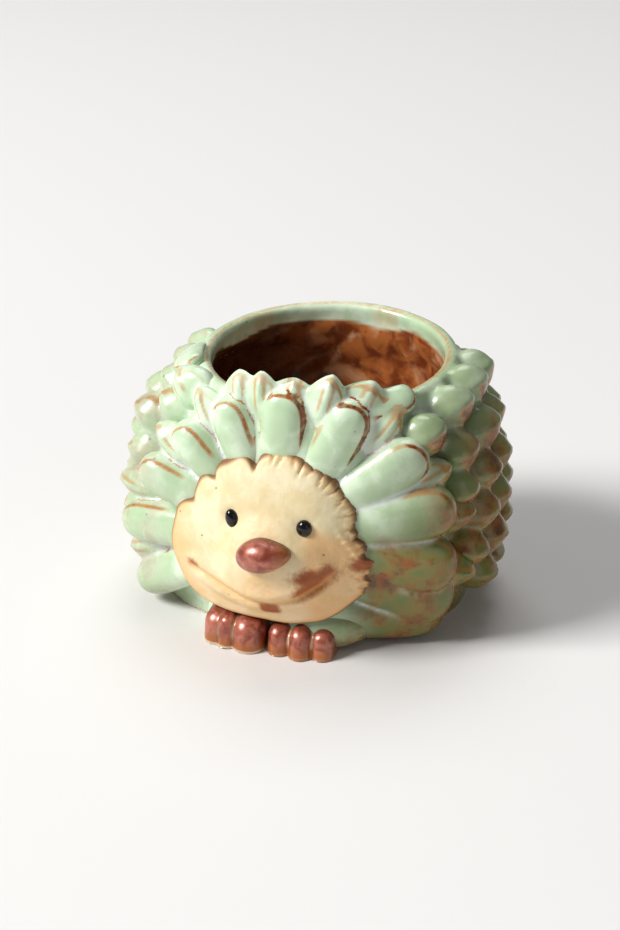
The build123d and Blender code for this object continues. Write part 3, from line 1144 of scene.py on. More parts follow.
@dataclass
class QuillCoat:
    """Rows of quills: a mane fanned out round the face, columns along the sides and level rows behind."""

    wall: PotWall
    slots: int = 15
    mane_top_fall: float = 50.0
    mane_side_drop: float = 12.0
    row_pitch: float = 11.5
    last_turn: float = 123.0
    last_side_fall: float = 117.0
    lean_step: float = 1.5
    rim_margin: float = 5.2
    ground_margin: float = 8.5
    back_row_height: float = 11.5
    back_row_step: float = 10.0
    back_row_count: int = 6
    back_pitch: float = 10.9
    back_side_gap: float = 10.2
    back_half_turn: int = 85
    back_lean: Span = (0.1, 0.9)
    petal_tips: tuple[Place, ...] = (
        (-46.0, -24.0, 5.0), (-50.5, -23.5, 24.5), (-41.0, -32.5, 47.0), (-28.5, -34.5, 61.5),
        (-14.8, -35.0, 71.0), (2.0, -35.5, 75.2), (20.8, -32.5, 73.0), (38.5, -29.0, 60.5),
        (47.0, -27.0, 44.0), (47.5, -26.0, 24.5), (45.5, -23.5, 11.5),
    )
    petal_widths: tuple[float, ...] = (13.0, 13.0, 13.0, 12.4, 12.6, 14.0, 13.8, 15.0, 16.5, 17.5, 17.5)
    petal_width_change: float = 0.03
    petal_height: float = 10.4
    petal_root_depth: float = 35.5
    haunch_ends: tuple[Place, Place] = ((10.0, -37.0, 9.0), (43.0, -21.5, 7.2))
    haunch_size: Span = (14.5, 11.0)
    leaf_tips: tuple[Place, ...] = (
        (-50.0, -21.0, 14.5), (-53.5, -18.0, 35.5), (-37.0, -30.0, 58.5), (-24.5, -30.0, 71.0),
        (-5.0, -34.0, 79.2), (14.6, -33.5, 80.0), (31.5, -27.5, 69.5), (45.0, -24.0, 54.0),
        (51.5, -20.5, 40.0), (51.5, -18.0, 19.5),
    )
    leaf_length: float = 19.0
    leaf_width: float = 13.0
    leaf_height: float = 9.2
    leaf_sink: float = 3.4
    leaf_root_depth: float = 35.0
    crest_tips: tuple[Place, ...] = (
        (-33.0, -22.0, 72.5), (-11.9, -31.5, 77.8), (4.4, -32.5, 78.6), (24.2, -28.0, 77.2),
    )
    crest_length: float = 13.5
    crest_width: float = 15.5
    root_half_width: float = 20.0
    root_half_height: float = 17.0
    root_middle: float = 33.0
    flap_ends: tuple[tuple[Place, Place], ...] = (
        ((16.0, -33.5, 69.0), (33.5, -21.0, 71.5)), ((-35.5, -2.0, 69.5), (-31.5, -19.5, 71.0)),
    )
    flap_size: Span = (10.5, 6.0)
    knob_width: float = 12.8
    knob_height: float = 9.6
    knob_root: Span = (8.6, 2.4)
    knob_lean: float = 2.2
    knob_lean_change: float = 0.2
    knob_rise: float = 6.8
    knob_rise_change: float = 0.1
    knob_drift: float = 0.7
    shoulder_rise: float = 3.6
    shoulder_depth: float = 11.0
    shoulder_side: float = -8.0
    seed: int = 7
    shake: random.Random = field(init=False)

    def __post_init__(self) -> None:
        """Starts the unevenness of hand work at a fixed seed."""
        self.shake = random.Random(self.seed)

    def uneven(self, value: float, share: float = 0.06) -> float:
        """Value changed by up to a share of it, as hand work is uneven."""
        return value * (1 + self.shake.uniform(-share, share))

    def root_under_slab(self, tip: Sequence[float], depth: float) -> Vector:
        """Root under the face slab of a quill that fans out to a tip.

        Args:
            tip: its tip, in millimetres.
            depth: how far forward the root is, in millimetres.

        Returns:
            The root, in metres.
        """
        turn = math.atan2(tip[0], tip[2] - self.root_middle)
        across, up = self.root_half_width * math.sin(turn), self.root_half_height * math.cos(turn)
        return metres((across, -depth, self.root_middle + up))

    def petals(self) -> list[Quill]:
        """Long petals that fan out from under the face slab.

        Returns:
            The quills.
        """
        root, tip = (metres(end) for end in self.haunch_ends)
        quills = [Quill.between(QuillKind.PETAL, root, tip, self.wall.away(tip), *self.haunch_size)]
        for place, even_width in zip(self.petal_tips, self.petal_widths):
            root, tip = self.root_under_slab(place, self.petal_root_depth), metres(place)
            width, height = self.uneven(even_width, self.petal_width_change), self.uneven(self.petal_height)
            quills.append(Quill.between(QuillKind.PETAL, root, tip, self.wall.away(tip), width, height))
        return quills

    def flaps(self) -> list[Quill]:
        """Quills that lie along the rim.

        Returns:
            The quills.
        """
        quills = []
        for ends in self.flap_ends:
            root, tip = (metres(end) for end in ends)
            out = Vector((0, 0, 1)) + self.wall.away(tip)
            quills.append(Quill.between(QuillKind.PETAL, root, tip, out, *self.flap_size))
        return quills

    def leaves(self, tips: Iterable[Place], length: float, even_width: float) -> list[Quill]:
        """Short keeled leaves that come up behind the petals.

        Args:
            tips: their tips, in millimetres.
            length: their length, in millimetres.
            even_width: their width before it is made uneven, in millimetres.

        Returns:
            The quills.
        """
        quills = []
        for place in tips:
            tip = metres(place)
            normal = self.wall.away(tip)
            way = (tip - self.root_under_slab(place, self.leaf_root_depth)).normalized()
            root = tip - way * (length * MM) - normal * (self.leaf_sink * MM)
            width, height = self.uneven(even_width), self.uneven(self.leaf_height)
            quills.append(Quill.between(QuillKind.TIP, root, tip, normal, width, height))
        return quills

    def knob(self, point: Vector, normal: Vector, back: Vector) -> Quill:
        """One knob that rises out of the wall with its tip leaning back.

        Args:
            point: its seat on the wall.
            normal: the way out of the wall.
            back: the way that it leans.

        Returns:
            The quill.
        """
        back = (back - normal * back.dot(normal)).normalized()
        depth = self.wall.below_rim(point.y / MM, point.z / MM)
        on_shoulder = depth < self.shoulder_depth and point.x < self.shoulder_side * MM
        lean = self.uneven(self.knob_lean, self.knob_lean_change) * MM
        rise = self.uneven(self.shoulder_rise if on_shoulder else self.knob_rise, self.knob_rise_change) * MM
        drift = self.shake.uniform(-self.knob_drift, self.knob_drift) * MM
        root = point - back * (self.knob_root[0] * MM) - normal * (self.knob_root[1] * MM)
        tip = point + back * lean + normal * rise + normal.cross(back) * drift
        width, height = self.uneven(self.knob_width), self.uneven(self.knob_height)
        return Quill.between(QuillKind.KNOB, root, tip, normal, width, height, point)

    def columns(self) -> list[Quill]:
        """Knobs in columns along the sides, every other column half a row on.

        Returns:
            The quills.
        """
        quills = []
        for index in range(-2 * self.slots, 2 * self.slots):
            turn = index * 360 / self.slots / 2
            if abs(turn) >= self.last_turn:
                continue
            fall = self.mane_top_fall + self.mane_side_drop * (1 - math.cos(math.radians(turn)))
            fall += (index % 2) * self.row_angle(turn, fall) / 2
            while fall < self.last_side_fall:
                fall += self.row_angle(turn, fall)
                point, normal = self.wall.hit(self.wall.way(turn, fall))
                below_rim = self.wall.below_rim(point.y / MM, point.z / MM)
                clear = below_rim > self.rim_margin and point.z > self.ground_margin * MM
                if clear and fall < self.last_side_fall:
                    ahead, _ = self.wall.hit(self.wall.way(turn, fall + self.lean_step))
                    quills.append(self.knob(point, normal, ahead - point))
        return quills

    def row_angle(self, turn: float, fall: float) -> float:
        """Angle that one row takes up on the wall at a turn and a fall, in degrees."""
        point, _ = self.wall.hit(self.wall.way(turn, fall))
        return math.degrees(self.row_pitch * MM / (point - self.wall.centre).length)

    def back_point(self, height: float, turn: float) -> Vector:
        """Point of the wall at a height.

        Args:
            height: the height, in millimetres.
            turn: the turn from straight back, in degrees.

        Returns:
            The point, in metres.
        """
        width, depth, shift = (float(size) for size in self.wall.sections(np.array(height)))
        turned = math.radians(turn)
        return metres((shift + width * math.sin(turned), depth * math.cos(turned), height))

    def back_end(self, height: float, side: int, seats: Sequence[Vector]) -> int:
        """Turn at which a level row meets the columns of one side.

        Args:
            height: height of the row, in millimetres.
            side: -1 for the left and 1 for the right.
            seats: seats of the columns' knobs.

        Returns:
            The turn, in degrees.
        """
        for turn in range(self.back_half_turn):
            point = self.back_point(height, side * turn)
            if any((point - seat).length < self.back_side_gap * MM for seat in seats):
                return side * turn
        return side * self.back_half_turn

    def back_rows(self, seats: Sequence[Vector]) -> list[Quill]:
        """Level rows of knobs that close the back, spread evenly over the room that the columns leave.

        Args:
            seats: seats of the columns' knobs.

        Returns:
            The quills.
        """
        quills = []
        outward_share, upward_share = self.back_lean
        for row in range(self.back_row_count):
            height = self.back_row_height + row * self.back_row_step
            low, high = self.back_end(height, -1, seats), self.back_end(height, 1, seats)
            depth = float(self.wall.sections(np.array(height))[1])
            count = int(math.radians(high - low) * depth / self.back_pitch)
            for index in range(count + 1):
                aim = self.back_point(height, low + (high - low) * index / count) - self.wall.centre
                point, normal = self.wall.hit(aim.normalized())
                outward = Vector((point.x, point.y, 0)).normalized()
                back = Vector((0, 0, upward_share)) + outward * outward_share
                quills.append(self.knob(point, normal, back))
        return quills


@dataclass
class GlazeMarks:
    """Works out where a glaze breaks and pools over quills, and the painted shade on the knobs' faces.

    Places along, across and over a quill are shares of its length, half width and half thickness.
    """

    skin: Skin
    quills: Sequence[Quill]
    quill_middle: Span = (0.52, 0.5)
    quill_reach: Span = (1.9, 1.2)
    shoulder_lean: Band = (0.42, 0.54, 0.66, 0.76)
    shoulder_along: Span = (0.3, 0.5)
    clockwise_span: Span = (0.1, 0.45)
    ahead_span: Span = (0.3, 0.6)
    ahead_share: float = 0.9
    shoulder_least: float = 0.42
    left_shoulders: float = 0.54
    shoulder_across: Span = (-20.0, 20.0)
    cap_along: Span = (0.8, 0.96)
    cap_lean: Span = (0.2, 0.5)
    cap_share: float = 0.4
    keel_across: Band = (0.08, 0.16, 0.22, 0.36)
    keel_along: Span = (0.4, 0.62)
    keel_height: Span = (0.1, 0.4)
    keel_share: float = 0.42
    leaf_shoulders: float = 0.5
    knob_right: Span = (8.0, 36.0)
    knob_waves: Waves = ((0.16, 0.0, 0.9, 0.7), (0.12, 0.0, -1.0, 1.9))
    knob_clockwise: Span = (0.05, 0.6)
    knob_across: Span = (-0.1, 0.8)
    knob_along: Span = (0.34, 0.66)
    knob_fray: float = 0.5
    knob_shares: Span = (0.14, 0.72)
    ring_lean: Band = (0.44, 0.56, 0.74, 0.86)
    ring_along: Span = (0.15, 0.4)
    ring_waves: Waves = ((1.0, 0.0, 0.0, 0.5, 0.4), (1.0, 0.0, -0.3, 0.0, 0.35))
    ring_span: Span = (-0.4, 0.5)
    ring_left: Span = (14.0, 28.0)
    ring_share: float = 0.46
    valley_passes: int = 40
    valley_span: Span = (0.04, 0.36)
    small_pools: float = 0.48
    pool_right: Span = (26.0, 44.0)
    pool_right_loss: float = 0.6
    pool_passes: int = 3

    def __post_init__(self) -> None:
        """Finds the quill that each point of the skin belongs to, and the point's place on it."""
        count = len(self.skin.points)
        self.nearest = np.full(count, FAR)
        self.local = np.zeros((count, 3))
        self.lean = np.zeros((count, 3))
        self.kind = np.full(count, "", dtype="U8")
        middle, half_length = self.quill_middle
        for quill in self.quills:
            axes = np.array([quill.axis, quill.side, quill.out])
            local = (self.skin.points - np.array(quill.root)) @ axes.T
            local = local / np.array([quill.length, quill.width / 2, quill.height / 2])
            reach = ((local[:, 0] - middle) / half_length) ** 2 + local[:, 1] ** 2 + local[:, 2] ** 2
            nearer = reach < self.nearest
            self.nearest[nearer] = reach[nearer]
            self.local[nearer] = local[nearer]
            self.lean[nearer] = self.skin.normals[nearer] @ axes.T
            self.kind[nearer] = quill.kind.value

    def edge(self) -> np.ndarray:
        """Where the glaze thins to brown, and where painted shade browns the knobs' faces.

        Returns:
            Shares from 0 to 1.
        """
        shoulder = self.shoulder()
        marks = {
            QuillKind.PETAL: shoulder,
            QuillKind.TIP: np.maximum(shoulder * self.leaf_shoulders, self.keel()),
            QuillKind.KNOB: np.maximum(self.knob_rust_and_shade(), self.knob_ring()),
        }
        on_kinds = sum((self.kind == kind.value) * shares for kind, shares in marks.items())
        return ramp(self.nearest, *self.quill_reach) * on_kinds

    def shoulder(self) -> np.ndarray:
        """Marks on the shoulders of petals, strongest on their clockwise side and at their ends.

        Returns:
            Shares from 0 to 1.
        """
        ahead, anticlockwise, out = self.lean.T
        clockwise = ramp(-anticlockwise, *self.clockwise_span)
        weight = np.maximum(clockwise, ramp(ahead, *self.ahead_span) * self.ahead_share)
        weight = np.maximum(weight, self.shoulder_least) * ramp(self.local[:, 0], *self.shoulder_along)
        right = ramp(self.skin.places[0], *self.shoulder_across)
        weight = weight * (self.left_shoulders + (1 - self.left_shoulders) * right)
        return band(out, *self.shoulder_lean) * weight

    def keel(self) -> np.ndarray:
        """Marks along both sides of a leaf's keel and on its tip.

        Returns:
            Shares from 0 to 1.
        """
        along, across, height = self.local.T
        keel = band(np.abs(across), *self.keel_across) * ramp(along, *self.keel_along)
        keel = keel * ramp(height, *self.keel_height) * self.keel_share
        cap = ramp(along, *self.cap_along) * ramp(self.lean[:, 2], *self.cap_lean) * self.cap_share
        return np.maximum(keel, cap)

    def knob_rust_and_shade(self) -> np.ndarray:
        """Brown on the knobs' clockwise faces towards their tips, with frayed edges: partly glaze that breaks
        brown, partly painted shade, which makes it far stronger on the right.

        Returns:
            Shares from 0 to 1.
        """
        x, y, z = self.skin.places
        along, across, _ = self.local.T
        # painted shade: the brown grows stronger towards the right
        right = ramp(x, *self.knob_right)
        fray = waves(self.knob_waves, y, z)
        clockwise = ramp(-self.lean[:, 1], *self.knob_clockwise)
        reach = np.maximum(clockwise, ramp(fray - across, *self.knob_across) * right)
        least, more = self.knob_shares
        return reach * ramp(along + fray * self.knob_fray, *self.knob_along) * (least + more * right)

    def knob_ring(self) -> np.ndarray:
        """Broken rings round the knobs on the left.

        Returns:
            Shares from 0 to 1.
        """
        x, y, z = self.skin.places
        ring = band(self.lean[:, 2], *self.ring_lean) * ramp(self.local[:, 0], *self.ring_along)
        broken = ramp(waves(self.ring_waves, x, y, z), *self.ring_span)
        return ring * broken * ramp(-x, *self.ring_left) * self.ring_share

    def pool(self) -> np.ndarray:
        """Where the glaze pools pale: the valleys between quills.

        Returns:
            Shares from 0 to 1.
        """
        valley = self.skin.valleys(self.valley_passes, self.valley_span)
        share = np.where(self.kind == QuillKind.PETAL.value, 1.0, self.small_pools)
        share = share * (1 - self.pool_right_loss * ramp(self.skin.places[0], *self.pool_right))
        return self.skin.spread(valley * share, self.pool_passes)


# Pieces

@dataclass
class GlazedPot:
    """The pot with its side and back quills under one glaze, and the mane round the face.

    A skin is given as its grain and the number of times that it is softened.
    """

    wall: PotWall
    coat: QuillCoat
    pot_skin: tuple[float, int] = (0.96, 2)
    mane_skin: tuple[float, int] = (0.6, 6)
    smooth_angle: float = 70.0
    cavity_inset: float = 1.5
    cavity_reach: Span = (1.0, 0.98)
    cavity_height: Span = (8.0, 14.0)
    cavity_depth: Span = (2.0, 5.0)
    cavity_passes: int = 60
    dent_depth: float = 0.35
    lip_depth: float = 5.2
    lip_blur: float = 0.5
    lip_waves: Waves = ((0.7, 0.6, 5), (0.45, 2.0, 9))
    lining_lean: Span = (-0.05, 0.25)
    lining_slack: float = 1.0
    lining_low: float = 4.0
    outside_span: Span = (0.0, 0.4)
    crest_inset: float = 1.3
    crest_span: Span = (1.0, 0.2)
    crest_depth: Span = (1.2, 0.5)
    crest_share: float = 0.45
    blotch_waves: Waves = ((1.0, 1.0, 5), (0.7, 0.0, 11))
    blotch_span: Span = (0.1, 1.2)
    blotch_back: Span = (-5.0, 18.0)
    blotch_inset: Span = (2.2, 0.4)
    blotch_depth: Span = (7.0, 5.0)
    blotch_share: float = 0.3
    foot_height: Span = (0.9, 0.5)
    foot_lean: float = 0.2
    # painted shade inside the pot, darkest towards the left
    inner_shade: Span = (0.0, -26.0)
    inner_shade_share: float = 0.85
    mane_shade_height: Span = (54.0, 38.0)

    def build(self, glaze: bpy.types.Material) -> None:
        """Builds and dresses the pot and its mane.

        Args:
            glaze: the glaze.
        """
        coat = self.coat
        forms = QuillForms().draw()
        mane = coat.petals() + coat.leaves(coat.leaf_tips, coat.leaf_length, coat.leaf_width)
        mane += coat.leaves(coat.crest_tips, coat.crest_length, coat.crest_width) + coat.flaps()
        knobs = coat.columns()
        knobs += coat.back_rows([knob.seat for knob in knobs])
        self.build_pot(forms, knobs, glaze)
        self.build_mane(forms, mane, glaze)
        for form in forms.values():
            bpy.data.objects.remove(form)

    def build_pot(self, forms: dict[QuillKind, bpy.types.Object], knobs: Sequence[Quill],
                  glaze: bpy.types.Material) -> None:
        """Runs the pot and its knobs together.

        Args:
            forms: the quill forms.
            knobs: the knobs.
            glaze: the glaze.
        """
        parts = [Bench.merged_node(self.wall.node, "glazed_pot")]
        parts += [Bench.place_copy(forms[knob.kind], knob.matrix(), "knob") for knob in knobs]
        pot = Bench.join("glazed_pot", parts)
        Bench.run_together(pot, *self.pot_skin)
        skin = Skin(pot)
        self.soften_cavity(skin)
        x, _, z = skin.places
        marks = GlazeMarks(skin, knobs)
        lining = self.lining(skin)
        outside = 1 - ramp(lining, *self.outside_span)
        # Painted shade: inside the pot it darkens towards the left; outside it is the painted shade of the
        # sides.
        inner_shade = ramp(x, *self.inner_shade) * self.inner_shade_share
        skin.keep(
            edge=marks.edge() * outside + self.rim_line(skin), pool=marks.pool() * outside, lining=lining,
            rust=self.rust(skin) * outside, shade=np.where(lining > 0.3, inner_shade, self.shade(skin)),
            foot=ramp(z, *self.foot_height) * (skin.normals[:, 2] < self.foot_lean),
        )
        rows = sorted(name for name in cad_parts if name.startswith("quill_row"))
        Bench.finish_piece(pot, Slot.CELADON, glaze, [self.wall.node, *rows], self.smooth_angle)

    def build_mane(self, forms: dict[QuillKind, bpy.types.Object], quills: Sequence[Quill],
                   glaze: bpy.types.Material) -> None:
        """Runs the petals and the leaves between them together.

        Args:
            forms: the quill forms.
            quills: the quills of the mane.
            glaze: the glaze.
        """
        parts = [Bench.place_copy(forms[quill.kind], quill.matrix(), "quill") for quill in quills]
        mane = Bench.join("glazed_mane", parts)
        Bench.run_together(mane, *self.mane_skin)
        skin = Skin(mane)
        self.wall.clear_cavity(skin)
        marks = GlazeMarks(skin, quills)
        # Painted shade on the mane: half of the sides' shade high up, all of it low down.
        low = ramp(skin.places[2], *self.mane_shade_height)
        skin.keep(edge=marks.edge(), pool=marks.pool(), lining=0.0, rust=self.rust(skin),
                  shade=self.shade(skin) * (0.5 + 0.5 * low), foot=0.0)
        Bench.finish_piece(mane, Slot.CELADON, glaze, ["mane_petals", "mane_tips"], self.smooth_angle)

    def soften_cavity(self, skin: Skin) -> None:
        """Rounds the inside of the wall as thrown clay is, and dents it slightly.

        Args:
            skin: the pot's skin.
        """
        _, y, z = skin.places
        inside = ramp(self.wall.reach(skin, self.cavity_inset), *self.cavity_reach)
        inside = inside * ramp(z, *self.cavity_height) * ramp(self.wall.below_rim(y, z), *self.cavity_depth)
        turn, _ = self.wall.round_mouth(skin)
        dents = np.sin(9 * turn + 0.05 * z) * np.sin(0.42 * z + 2 * np.sin(3 * turn)) * self.dent_depth * MM
        even = skin.spread(skin.points, self.cavity_passes) - skin.points
        skin.press((even + skin.normals * dents[:, None]) * inside[:, None])

    def lining(self, skin: Skin) -> np.ndarray:
        """Where the inside is dark brown, below a wavy edge under the lip.

        Args:
            skin: the pot's skin.

        Returns:
            Shares from 0 to 1.
        """
        x, y, z = skin.places
        turn, reach = self.wall.round_mouth(skin)
        sure, most = self.lining_lean
        lean = skin.normals[:, 0] * (x - self.wall.mouth_shift) + skin.normals[:, 1] * y
        lean = lean / np.maximum(reach, 1)
        inside = (lean < most) & ((reach < self.wall.mouth_radius + self.lining_slack) | (lean < sure))
        lip = self.lip_depth + waves(self.lip_waves, turn)
        under_lip = ramp(self.wall.below_rim(y, z), lip - self.lip_blur, lip + self.lip_blur)
        return under_lip * (inside & (z > self.lining_low))

    def rim_line(self, skin: Skin) -> np.ndarray:
        """The thin brown line along the crest of the rim, and blotches inside the lip at the back.

        Args:
            skin: the pot's skin.

        Returns:
            Shares from 0 to 1.
        """
        _, y, z = skin.places
        turn, reach = self.wall.round_mouth(skin)
        inset, depth = reach - self.wall.mouth_radius, self.wall.below_rim(y, z)
        line = ramp(np.abs(inset - self.crest_inset), *self.crest_span) * ramp(depth, *self.crest_depth)
        blotch = ramp(waves(self.blotch_waves, turn), *self.blotch_span) * ramp(y, *self.blotch_back)
        blotch = blotch * ramp(inset, *self.blotch_inset) * ramp(depth, *self.blotch_depth)
        return np.maximum(line * self.crest_share, blotch * self.blotch_share)

    @staticmethod
    def rust(skin: Skin) -> np.ndarray:
        """Where patches of rust may show: low on the right, up the right side and faintly on the left.

        Args:
            skin: a skin.

        Returns:
            Shares from 0 to 1.
        """
        x, _, z = skin.places
        low_right = ramp(x, 18, 30) * ramp(z, 40, 26) * 0.9
        right = ramp(x, 36, 46) * ramp(z, 72, 50) * (0.35 + 0.4 * ramp(skin.normals[:, 0], 0.2, 0.8))
        left = ramp(-x, 30, 42) * 0.26
        return np.maximum.reduce([low_right, right, left])

    @staticmethod
    def shade(skin: Skin) -> np.ndarray:
        """Painted shade, which darkens the green to olive: on the right, most of all low down, and a little
        near the ground and on the left.

        Args:
            skin: a skin.

        Returns:
            Shares from 0 to 1.
        """
        x, _, z = skin.places
        right = ramp(x, 18, 42) * (0.5 + 0.36 * ramp(z, 76, 56) + 0.14 * ramp(z, 56, 20))
        ground, left = 0.25 * ramp(z, 14, 2), 0.16 * ramp(-x, 24, 38)
        return np.maximum(right + ground + left, ramp(x, 12, 30) * ramp(z, 50, 26))


class Spot(NamedTuple):
    """Soft mark on the face: its middle across and up, half width, half height, strength and squareness."""

    x: float
    z: float
    half_width: float
    half_height: float
    strength: float = 1.0
    square: int = 2

    def over(self, x: np.ndarray, z: np.ndarray) -> np.ndarray:
        """Strength of the mark at places across and heights."""
        across, up = (x - self.x) / self.half_width, (z - self.z) / self.half_height
        return self.strength * np.exp(-across ** self.square - up ** self.square)


@dataclass
class FaceSlab:
    """Cream slab with its muzzle, smile, eye hollows, tooled upper edge and torn right edge.

    Directions go round its middle from straight up, clockwise. A mark's field holds the numbers that its use
    unpacks by name, in that order.
    """

    wall: PotWall
    half_width: float = 30.0
    half_height: float = 25.0
    middle: float = 33.0
    dome_radius: float = 58.0
    dome_front: float = 47.5
    dome_middle: float = 30.0
    cheek_drop: float = 3.0
    cheek_across: Span = (10.0, 28.0)
    back: float = 2.0
    least_thickness: float = 1.0
    edge_round: float = 2.2
    segments: int = 260
    back_rings: tuple[float, ...] = (0.04, 0.2, 0.4, 0.6, 0.8, 0.96, 1.0)
    round_rings: int = 7
    round_step: float = 0.012
    front_rings: int = 60
    front_share: float = 0.925
    front_crowding: float = 0.9
    muzzle_radius: float = 19.0
    muzzle_height: float = 29.0
    muzzle_reach: float = 51.6
    muzzle_narrowing: float = 0.92
    muzzle_blend: float = 1.6
    eye_places: tuple[Span, Span] = ((-10.0, 40.0), (10.0, 40.0))
    eye_hollow: Span = (0.75, 2.9)
    outline_shares: tuple[Span, ...] = (
        (0.01, 1.02), (-0.16, 0.93), (-0.38, 0.92), (-0.53, 0.76), (-0.78, 0.42), (-0.97, 0.15),
        (-1.02, -0.30), (-0.92, -0.73), (-0.69, -0.90), (-0.31, -0.94), (0.07, -0.97), (0.36, -0.93),
        (0.66, -0.80), (0.85, -0.52), (0.85, -0.19), (0.77, 0.15), (0.72, 0.44), (0.575, 0.71),
        (0.42, 0.88), (0.23, 0.98),
    )
    outline_spots: int = 721
    outline_blur: int = 14
    outline_spread: float = 6.0
    notches: tuple[Triple, ...] = (
        (-69.0, 1.2, 1.5), (-45.0, 1.8, 1.2), (-13.5, 2.2, 1.1), (84.0, 0.9, 0.8), (109.0, 1.0, 0.9),
    )
    notch_lip: Triple = (0.5, 3.0, 1.6)
    spur_angle: float = 100.0
    spur_reach: float = 3.0
    spur_half_width: float = 1.3
    torn_band: Band = (58.0, 80.0, 112.0, 128.0)
    torn_waves: Waves = ((0.35, 0.0, 0.9), (0.3, 1.0, 2.3), (0.5, 0.0, 0.31))
    edge_waves: Waves = ((0.3, 1.0, 7), (0.2, 0.0, 13))
    rough_band: Band = (62.0, 85.0, 112.0, 130.0)
    rough_inset: Span = (6.0, 1.0)
    rough_waves: Waves = ((0.35, 0.0, 2.1, 1.3), (0.35, 0.0, 1.1, -2.7))
    smile: tuple[Span, ...] = (
        (-24.0, 22.6), (-19.0, 21.5), (-12.0, 18.8), (-5.6, 16.9), (1.6, 17.0), (8.7, 19.7), (14.2, 23.4),
        (17.4, 26.4),
    )
    smile_middle: float = -3.5
    smile_reach: Span = (22.5, 17.0)
    smile_corner: Span = (4.0, 14.0)
    smile_rolls: tuple[tuple[float, ...], ...] = (
        (0.0, -1.0, -0.9, 0.8, 0.5), (2.6, 1.0, 0.5, 2.2, 0.0), (-2.4, 0.6, 0.5, 1.6, 0.0),
    )
    nick_start: float = 0.0
    nick_end: float = 72.0
    nick_fade: float = 6.0
    nick_count: int = 12
    nick_edge: Triple = (0.2, 0.4, 0.16)
    nick_half_width: float = 0.3
    nick_depth: float = 0.8
    nick_sway: Span = (4.0, 2.1)
    nick_length: Triple = (3.2, 1.8, 1.7)
    stain_spots: tuple[Spot, ...] = (
        Spot(13.5, 26.8, 6.0, 3.0), Spot(25.0, 28.5, 4.2, 2.4), Spot(-22.5, 23.8, 2.6, 1.8, 0.75),
        Spot(0.6, 15.0, 3.2, 1.9, 0.9, 4),
    )
    smile_stain_band: Band = (4.0, 12.0, 16.0, 20.0)
    smile_stain: Triple = (1.4, 2.8, 0.95)
    stain_share: float = 0.9
    groove_reach: Span = (23.5, 20.0)
    groove_half_width: float = 0.8
    groove_share: float = 0.8
    nick_share: float = 0.5
    warm_spots: tuple[Spot, ...] = (Spot(1.0, 23.0, 15.0, 8.0, 0.75), Spot(-2.0, 37.5, 9.0, 4.5, 0.55))
    warm_share: float = 0.8
    outline_inset: Span = (1.5, 0.3)
    outline_share: float = 0.95

    def nick_angle(self, index: int) -> float:
        """Direction of a tool mark, in degrees."""
        return self.nick_start + (self.nick_end - self.nick_start) * index / (self.nick_count - 1)

    def smooth_outline(self, angle: np.ndarray) -> np.ndarray:
        """Distance of the edge from the middle before it is worked with tools.

        Args:
            angle: directions, in radians.

        Returns:
            The distances, in millimetres.
        """
        across, up = np.array(self.outline_shares).T
        across, up = across * self.half_width, up * self.half_height
        known = np.arctan2(across, up)
        order = np.argsort(known)
        known, reach = known[order], np.hypot(across, up)[order]
        known = np.concatenate([known - 2 * np.pi, known, known + 2 * np.pi])
        spots = np.linspace(-np.pi, np.pi, self.outline_spots)
        even = np.interp(spots, known, np.tile(reach, 3))
        blur = self.outline_blur
        kernel = np.exp(-0.5 * (np.arange(-blur, blur + 1) / self.outline_spread) ** 2)
        ring = np.concatenate([even[-blur - 1:-1], even, even[1:blur + 1]])
        return np.interp(angle, spots, np.convolve(ring, kernel / kernel.sum(), mode="valid"))

    def outline(self, angle: np.ndarray) -> np.ndarray:
        """Distance of the edge from the middle.

        Args:
            angle: directions, in radians.

        Returns:
            The distances, in millimetres.
        """
        smooth, degrees = self.smooth_outline(angle), np.degrees(angle)
        phase = (degrees - self.nick_start) / (self.nick_end - self.nick_start) * (self.nick_count - 1)
        rise, fall, half_width = self.nick_edge
        tooled = band(degrees, self.nick_start - self.nick_fade, self.nick_start, self.nick_end,
                      self.nick_end + self.nick_fade)
        edge = smooth + tooled * (rise - fall * ramp(np.abs(phase - np.round(phase)), half_width, 0.0))
        lip_height, lip_place, lip_width = self.notch_lip
        for place, deep, wide in self.notches:
            away = np.radians(degrees - place) * smooth / wide
            edge = edge - deep * bell(away, 1.0) + lip_height * bell(np.abs(away) - lip_place, lip_width)
        spur = np.radians(degrees - self.spur_angle) * smooth
        edge = edge + self.spur_reach * bell(spur, self.spur_half_width)
        torn = band(degrees, *self.torn_band) * waves(self.torn_waves, degrees)
        return edge + torn + waves(self.edge_waves, angle)

    def over_smile(self, x: np.ndarray, z: np.ndarray) -> np.ndarray:
        """Signed distance from the smile line, above zero over it.

        Args:
            x: places across, in millimetres.
            z: heights, in millimetres.

        Returns:
            The distances, in millimetres.
        """
        nearest = np.full(x.shape, FAR)
        for (x0, z0), (x1, z1) in zip(self.smile, self.smile[1:]):
            dx, dz = x1 - x0, z1 - z0
            share = np.clip(((x - x0) * dx + (z - z0) * dz) / (dx * dx + dz * dz), 0, 1)
            away = np.hypot(x - x0 - share * dx, z - z0 - share * dz)
            signed = away * np.sign((z - z0) * dx - (x - x0) * dz)
            nearest = np.where(away < np.abs(nearest), signed, nearest)
        return nearest

